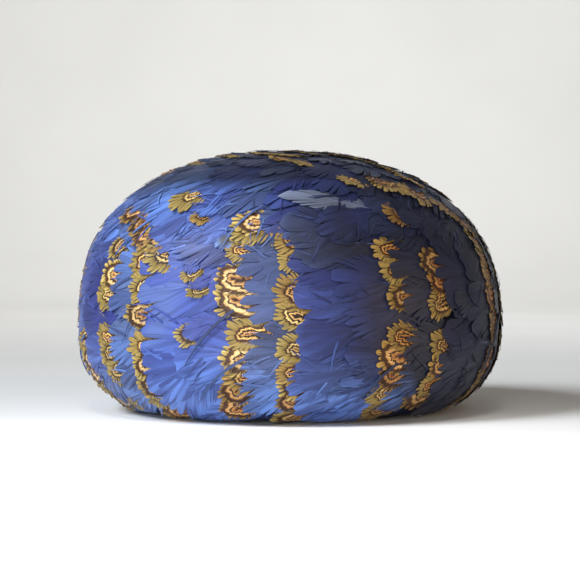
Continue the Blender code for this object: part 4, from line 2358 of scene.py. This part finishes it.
@dataclass
class Whorl:
    """The small plumes that close the crown's middle."""

    layer: Layer
    plumes: FeatherStock
    finish: bpy.types.Material
    rounds: tuple[tuple[float, int, float], ...] = ((0.070, 9, 0.56), (0.030, 5, 0.42))

    def build(self) -> None:
        """Makes the piece."""
        random = np.random.default_rng(7)
        laid = []
        for share, count, size in self.rounds:
            for i in range(count):
                laid.append(Laid(
                    bearing=2.0 * math.pi * (i + random.uniform(-0.1, 0.1)) / count,
                    share=share,
                    slant=math.radians(62.0 + random.uniform(-8.0, 8.0)),
                    size=size,
                    pick=int(random.integers(self.plumes.kind.variants)),
                ))
        mesh = self.layer.lay_all("crown_whorl_dressed", [Load(laid, self.plumes)], self.finish, 901)
        add_piece("crown_whorl_dressed", mesh, "blue_plume", "crown_whorl")


@dataclass
class Studio:
    """The pale floor and backdrop, the soft lights and the camera."""

    floor_radius: float = 2.4
    wall_height: float = 2.4
    bend_radius: float = 0.9
    lens: float = 100.0
    sensor: float = 36.0
    distance: float = 0.96
    target_height: float = 0.070
    elevation: float = math.radians(0.8)

    def backdrop(self) -> None:
        """A round floor that bends up into a wall all round."""
        columns, bends = 96, 16
        profile = [(self.floor_radius * i / 6, 0.0) for i in range(1, 7)]
        for i in range(1, bends + 1):
            turn = math.pi / 2.0 * i / bends
            profile.append((
                self.floor_radius + self.bend_radius * math.sin(turn),
                self.bend_radius * (1.0 - math.cos(turn)),
            ))
        profile.append((profile[-1][0], self.wall_height))
        verts = [(0.0, 0.0, 0.0)]
        for radius, height in profile:
            verts += [
                (
                    radius * math.cos(2.0 * math.pi * i / columns),
                    radius * math.sin(2.0 * math.pi * i / columns),
                    height,
                )
                for i in range(columns)
            ]
        mesh = bpy.data.meshes.new("floor")
        mesh.from_pydata(verts, [], round_faces(columns, len(profile)))
        mesh.shade_smooth()
        material, wiring, shader = start_material("pale_floor")
        here = wiring.add("ShaderNodeTexCoord").outputs["Object"]
        greys = ((0.3, (0.80, 0.80, 0.79)), (0.7, (0.84, 0.84, 0.83)))
        colour = wiring.ramp(wiring.noise(here, 3.0), greys)
        wiring.fill(shader, {"Base Color": colour, "Roughness": 0.75, "Specular IOR Level": 0.2})
        mesh.materials.append(material)
        floor = bpy.data.objects.new("floor", mesh)
        show(floor)

    def light(
        self, name: str, place: Place, size: float, power: float, colour: Colour, aim: Place, spread: float
    ) -> None:
        """Adds a square lamp.

        Args:
            name: Its name.
            place: Where it stands.
            size: Its side.
            power: In watts.
            colour: Its colour.
            aim: The point that it faces.
            spread: How wide its beam is, in degrees.
        """
        lamp = bpy.data.lights.new(name, "AREA")
        lamp.shape, lamp.size, lamp.energy, lamp.color = "SQUARE", size, power, colour
        lamp.spread = math.radians(spread)
        thing = bpy.data.objects.new(name, lamp)
        thing.location = place
        thing.rotation_euler = (Vector(aim) - Vector(place)).to_track_quat("-Z", "Y").to_euler()
        show(thing)

    def build(self) -> None:
        """Sets up the studio."""
        self.backdrop()
        middle = (0.0, 0.0, self.target_height)
        self.light("key", (-1.28, -0.86, 1.36), 0.8, 6.1, (0.90, 0.95, 1.0), middle, 60.0)
        self.light("low", (-0.35, -1.45, 0.09), 0.5, 1.5, (0.92, 0.95, 1.0), (0.0, 0.0, 0.0), 50.0)
        self.light("bounce", (-0.1, -0.95, 1.3), 0.4, 2.8, (1.0, 0.98, 0.95), (-0.05, -0.58, 0.0), 38.0)
        self.light("fill", (1.5, -0.7, 0.35), 0.6, 0.8, (1.0, 0.66, 0.34), middle, 60.0)
        self.light("wash", (0.0, 0.6, 2.2), 1.2, 31.0, (1.0, 0.99, 0.97), (0.0, 2.8, 0.5), 120.0)
        world = bpy.data.worlds.new("studio")
        bpy.context.scene.world = world
        world.use_nodes = True
        back = world.node_tree.nodes["Background"]
        back.inputs["Color"].default_value = (0.95, 0.97, 1.0, 1.0)
        back.inputs["Strength"].default_value = 0.09
        camera = bpy.data.cameras.new("camera")
        camera.lens, camera.sensor_width, camera.sensor_height = self.lens, self.sensor, self.sensor
        camera.clip_start = 0.02
        thing = bpy.data.objects.new("camera", camera)
        back_way = Vector((0.0, -math.cos(self.elevation), math.sin(self.elevation)))
        thing.location = Vector(middle) + back_way * self.distance
        thing.rotation_euler = (-back_way).to_track_quat("-Z", "Y").to_euler()
        show(thing)
        bpy.context.scene.camera = thing
        bpy.context.scene.view_settings.view_transform = "Standard"


def main() -> None:
    """Builds the dressed hat and its studio."""
    effects = Effects()
    form = LayingForm()
    layer = Layer(LayingTree(), form.build())
    kinds = (BARRED_VANE, PLUME_VANE, LONG_VANE, HACKLE_VANE, STRAND, WISP, QUILL)
    seeds = (1000, 2000, 3000, 5000, 4000, 6000, 7000)
    stocks = [FeatherStock(kind, seed) for kind, seed in zip(kinds, seeds)]
    blue = PlumeFinish(
        name="silky_blue",
        deep=(0.013, 0.016, 0.075),
        middle=(0.026, 0.036, 0.180),
        light=(0.050, 0.078, 0.285),
        worn=(0.080, 0.120, 0.280),
        edge=(0.040, 0.068, 0.260),
    ).build(effects)
    slate = PlumeFinish(
        name="silky_slate",
        deep=(0.022, 0.029, 0.080),
        middle=(0.038, 0.055, 0.150),
        light=(0.060, 0.100, 0.250),
        worn=(0.115, 0.155, 0.270),
        edge=(0.060, 0.095, 0.220),
    ).build(effects)
    pale = PlumeFinish(
        name="silky_pale",
        deep=(0.140, 0.170, 0.270),
        middle=(0.190, 0.235, 0.360),
        light=(0.250, 0.310, 0.460),
        worn=(0.270, 0.310, 0.430),
        edge=(0.230, 0.280, 0.420),
        charcoal=(0.060, 0.065, 0.085),
    ).build(effects)
    olive = PlumeFinish(
        name="silky_olive",
        deep=(0.050, 0.042, 0.026),
        middle=(0.080, 0.066, 0.036),
        light=(0.110, 0.092, 0.050),
        worn=(0.140, 0.110, 0.060),
        edge=(0.120, 0.200, 0.460),
        edge_start=0.62,
        edge_share=0.95,
        charcoal=(0.030, 0.026, 0.020),
    ).build(effects)
    tips = BarredFinish().build(effects)
    FeltShell().build(FeltFinish().build(effects))
    finishes = {Course.BARRED_A: tips, Course.SLATE: slate, Course.BARRED_B: tips, Course.BLUE: blue}
    Courses(layer, *stocks, finishes, pale, olive).build()
    Whorl(layer, stocks[kinds.index(PLUME_VANE)], blue).build()
    for stock in stocks:
        stock.clear()
    form.clear()
    Studio().build()


if __name__ == "__main__":
    logging.basicConfig(level=logging.INFO, format="%(name)s: %(message)s")
    main()
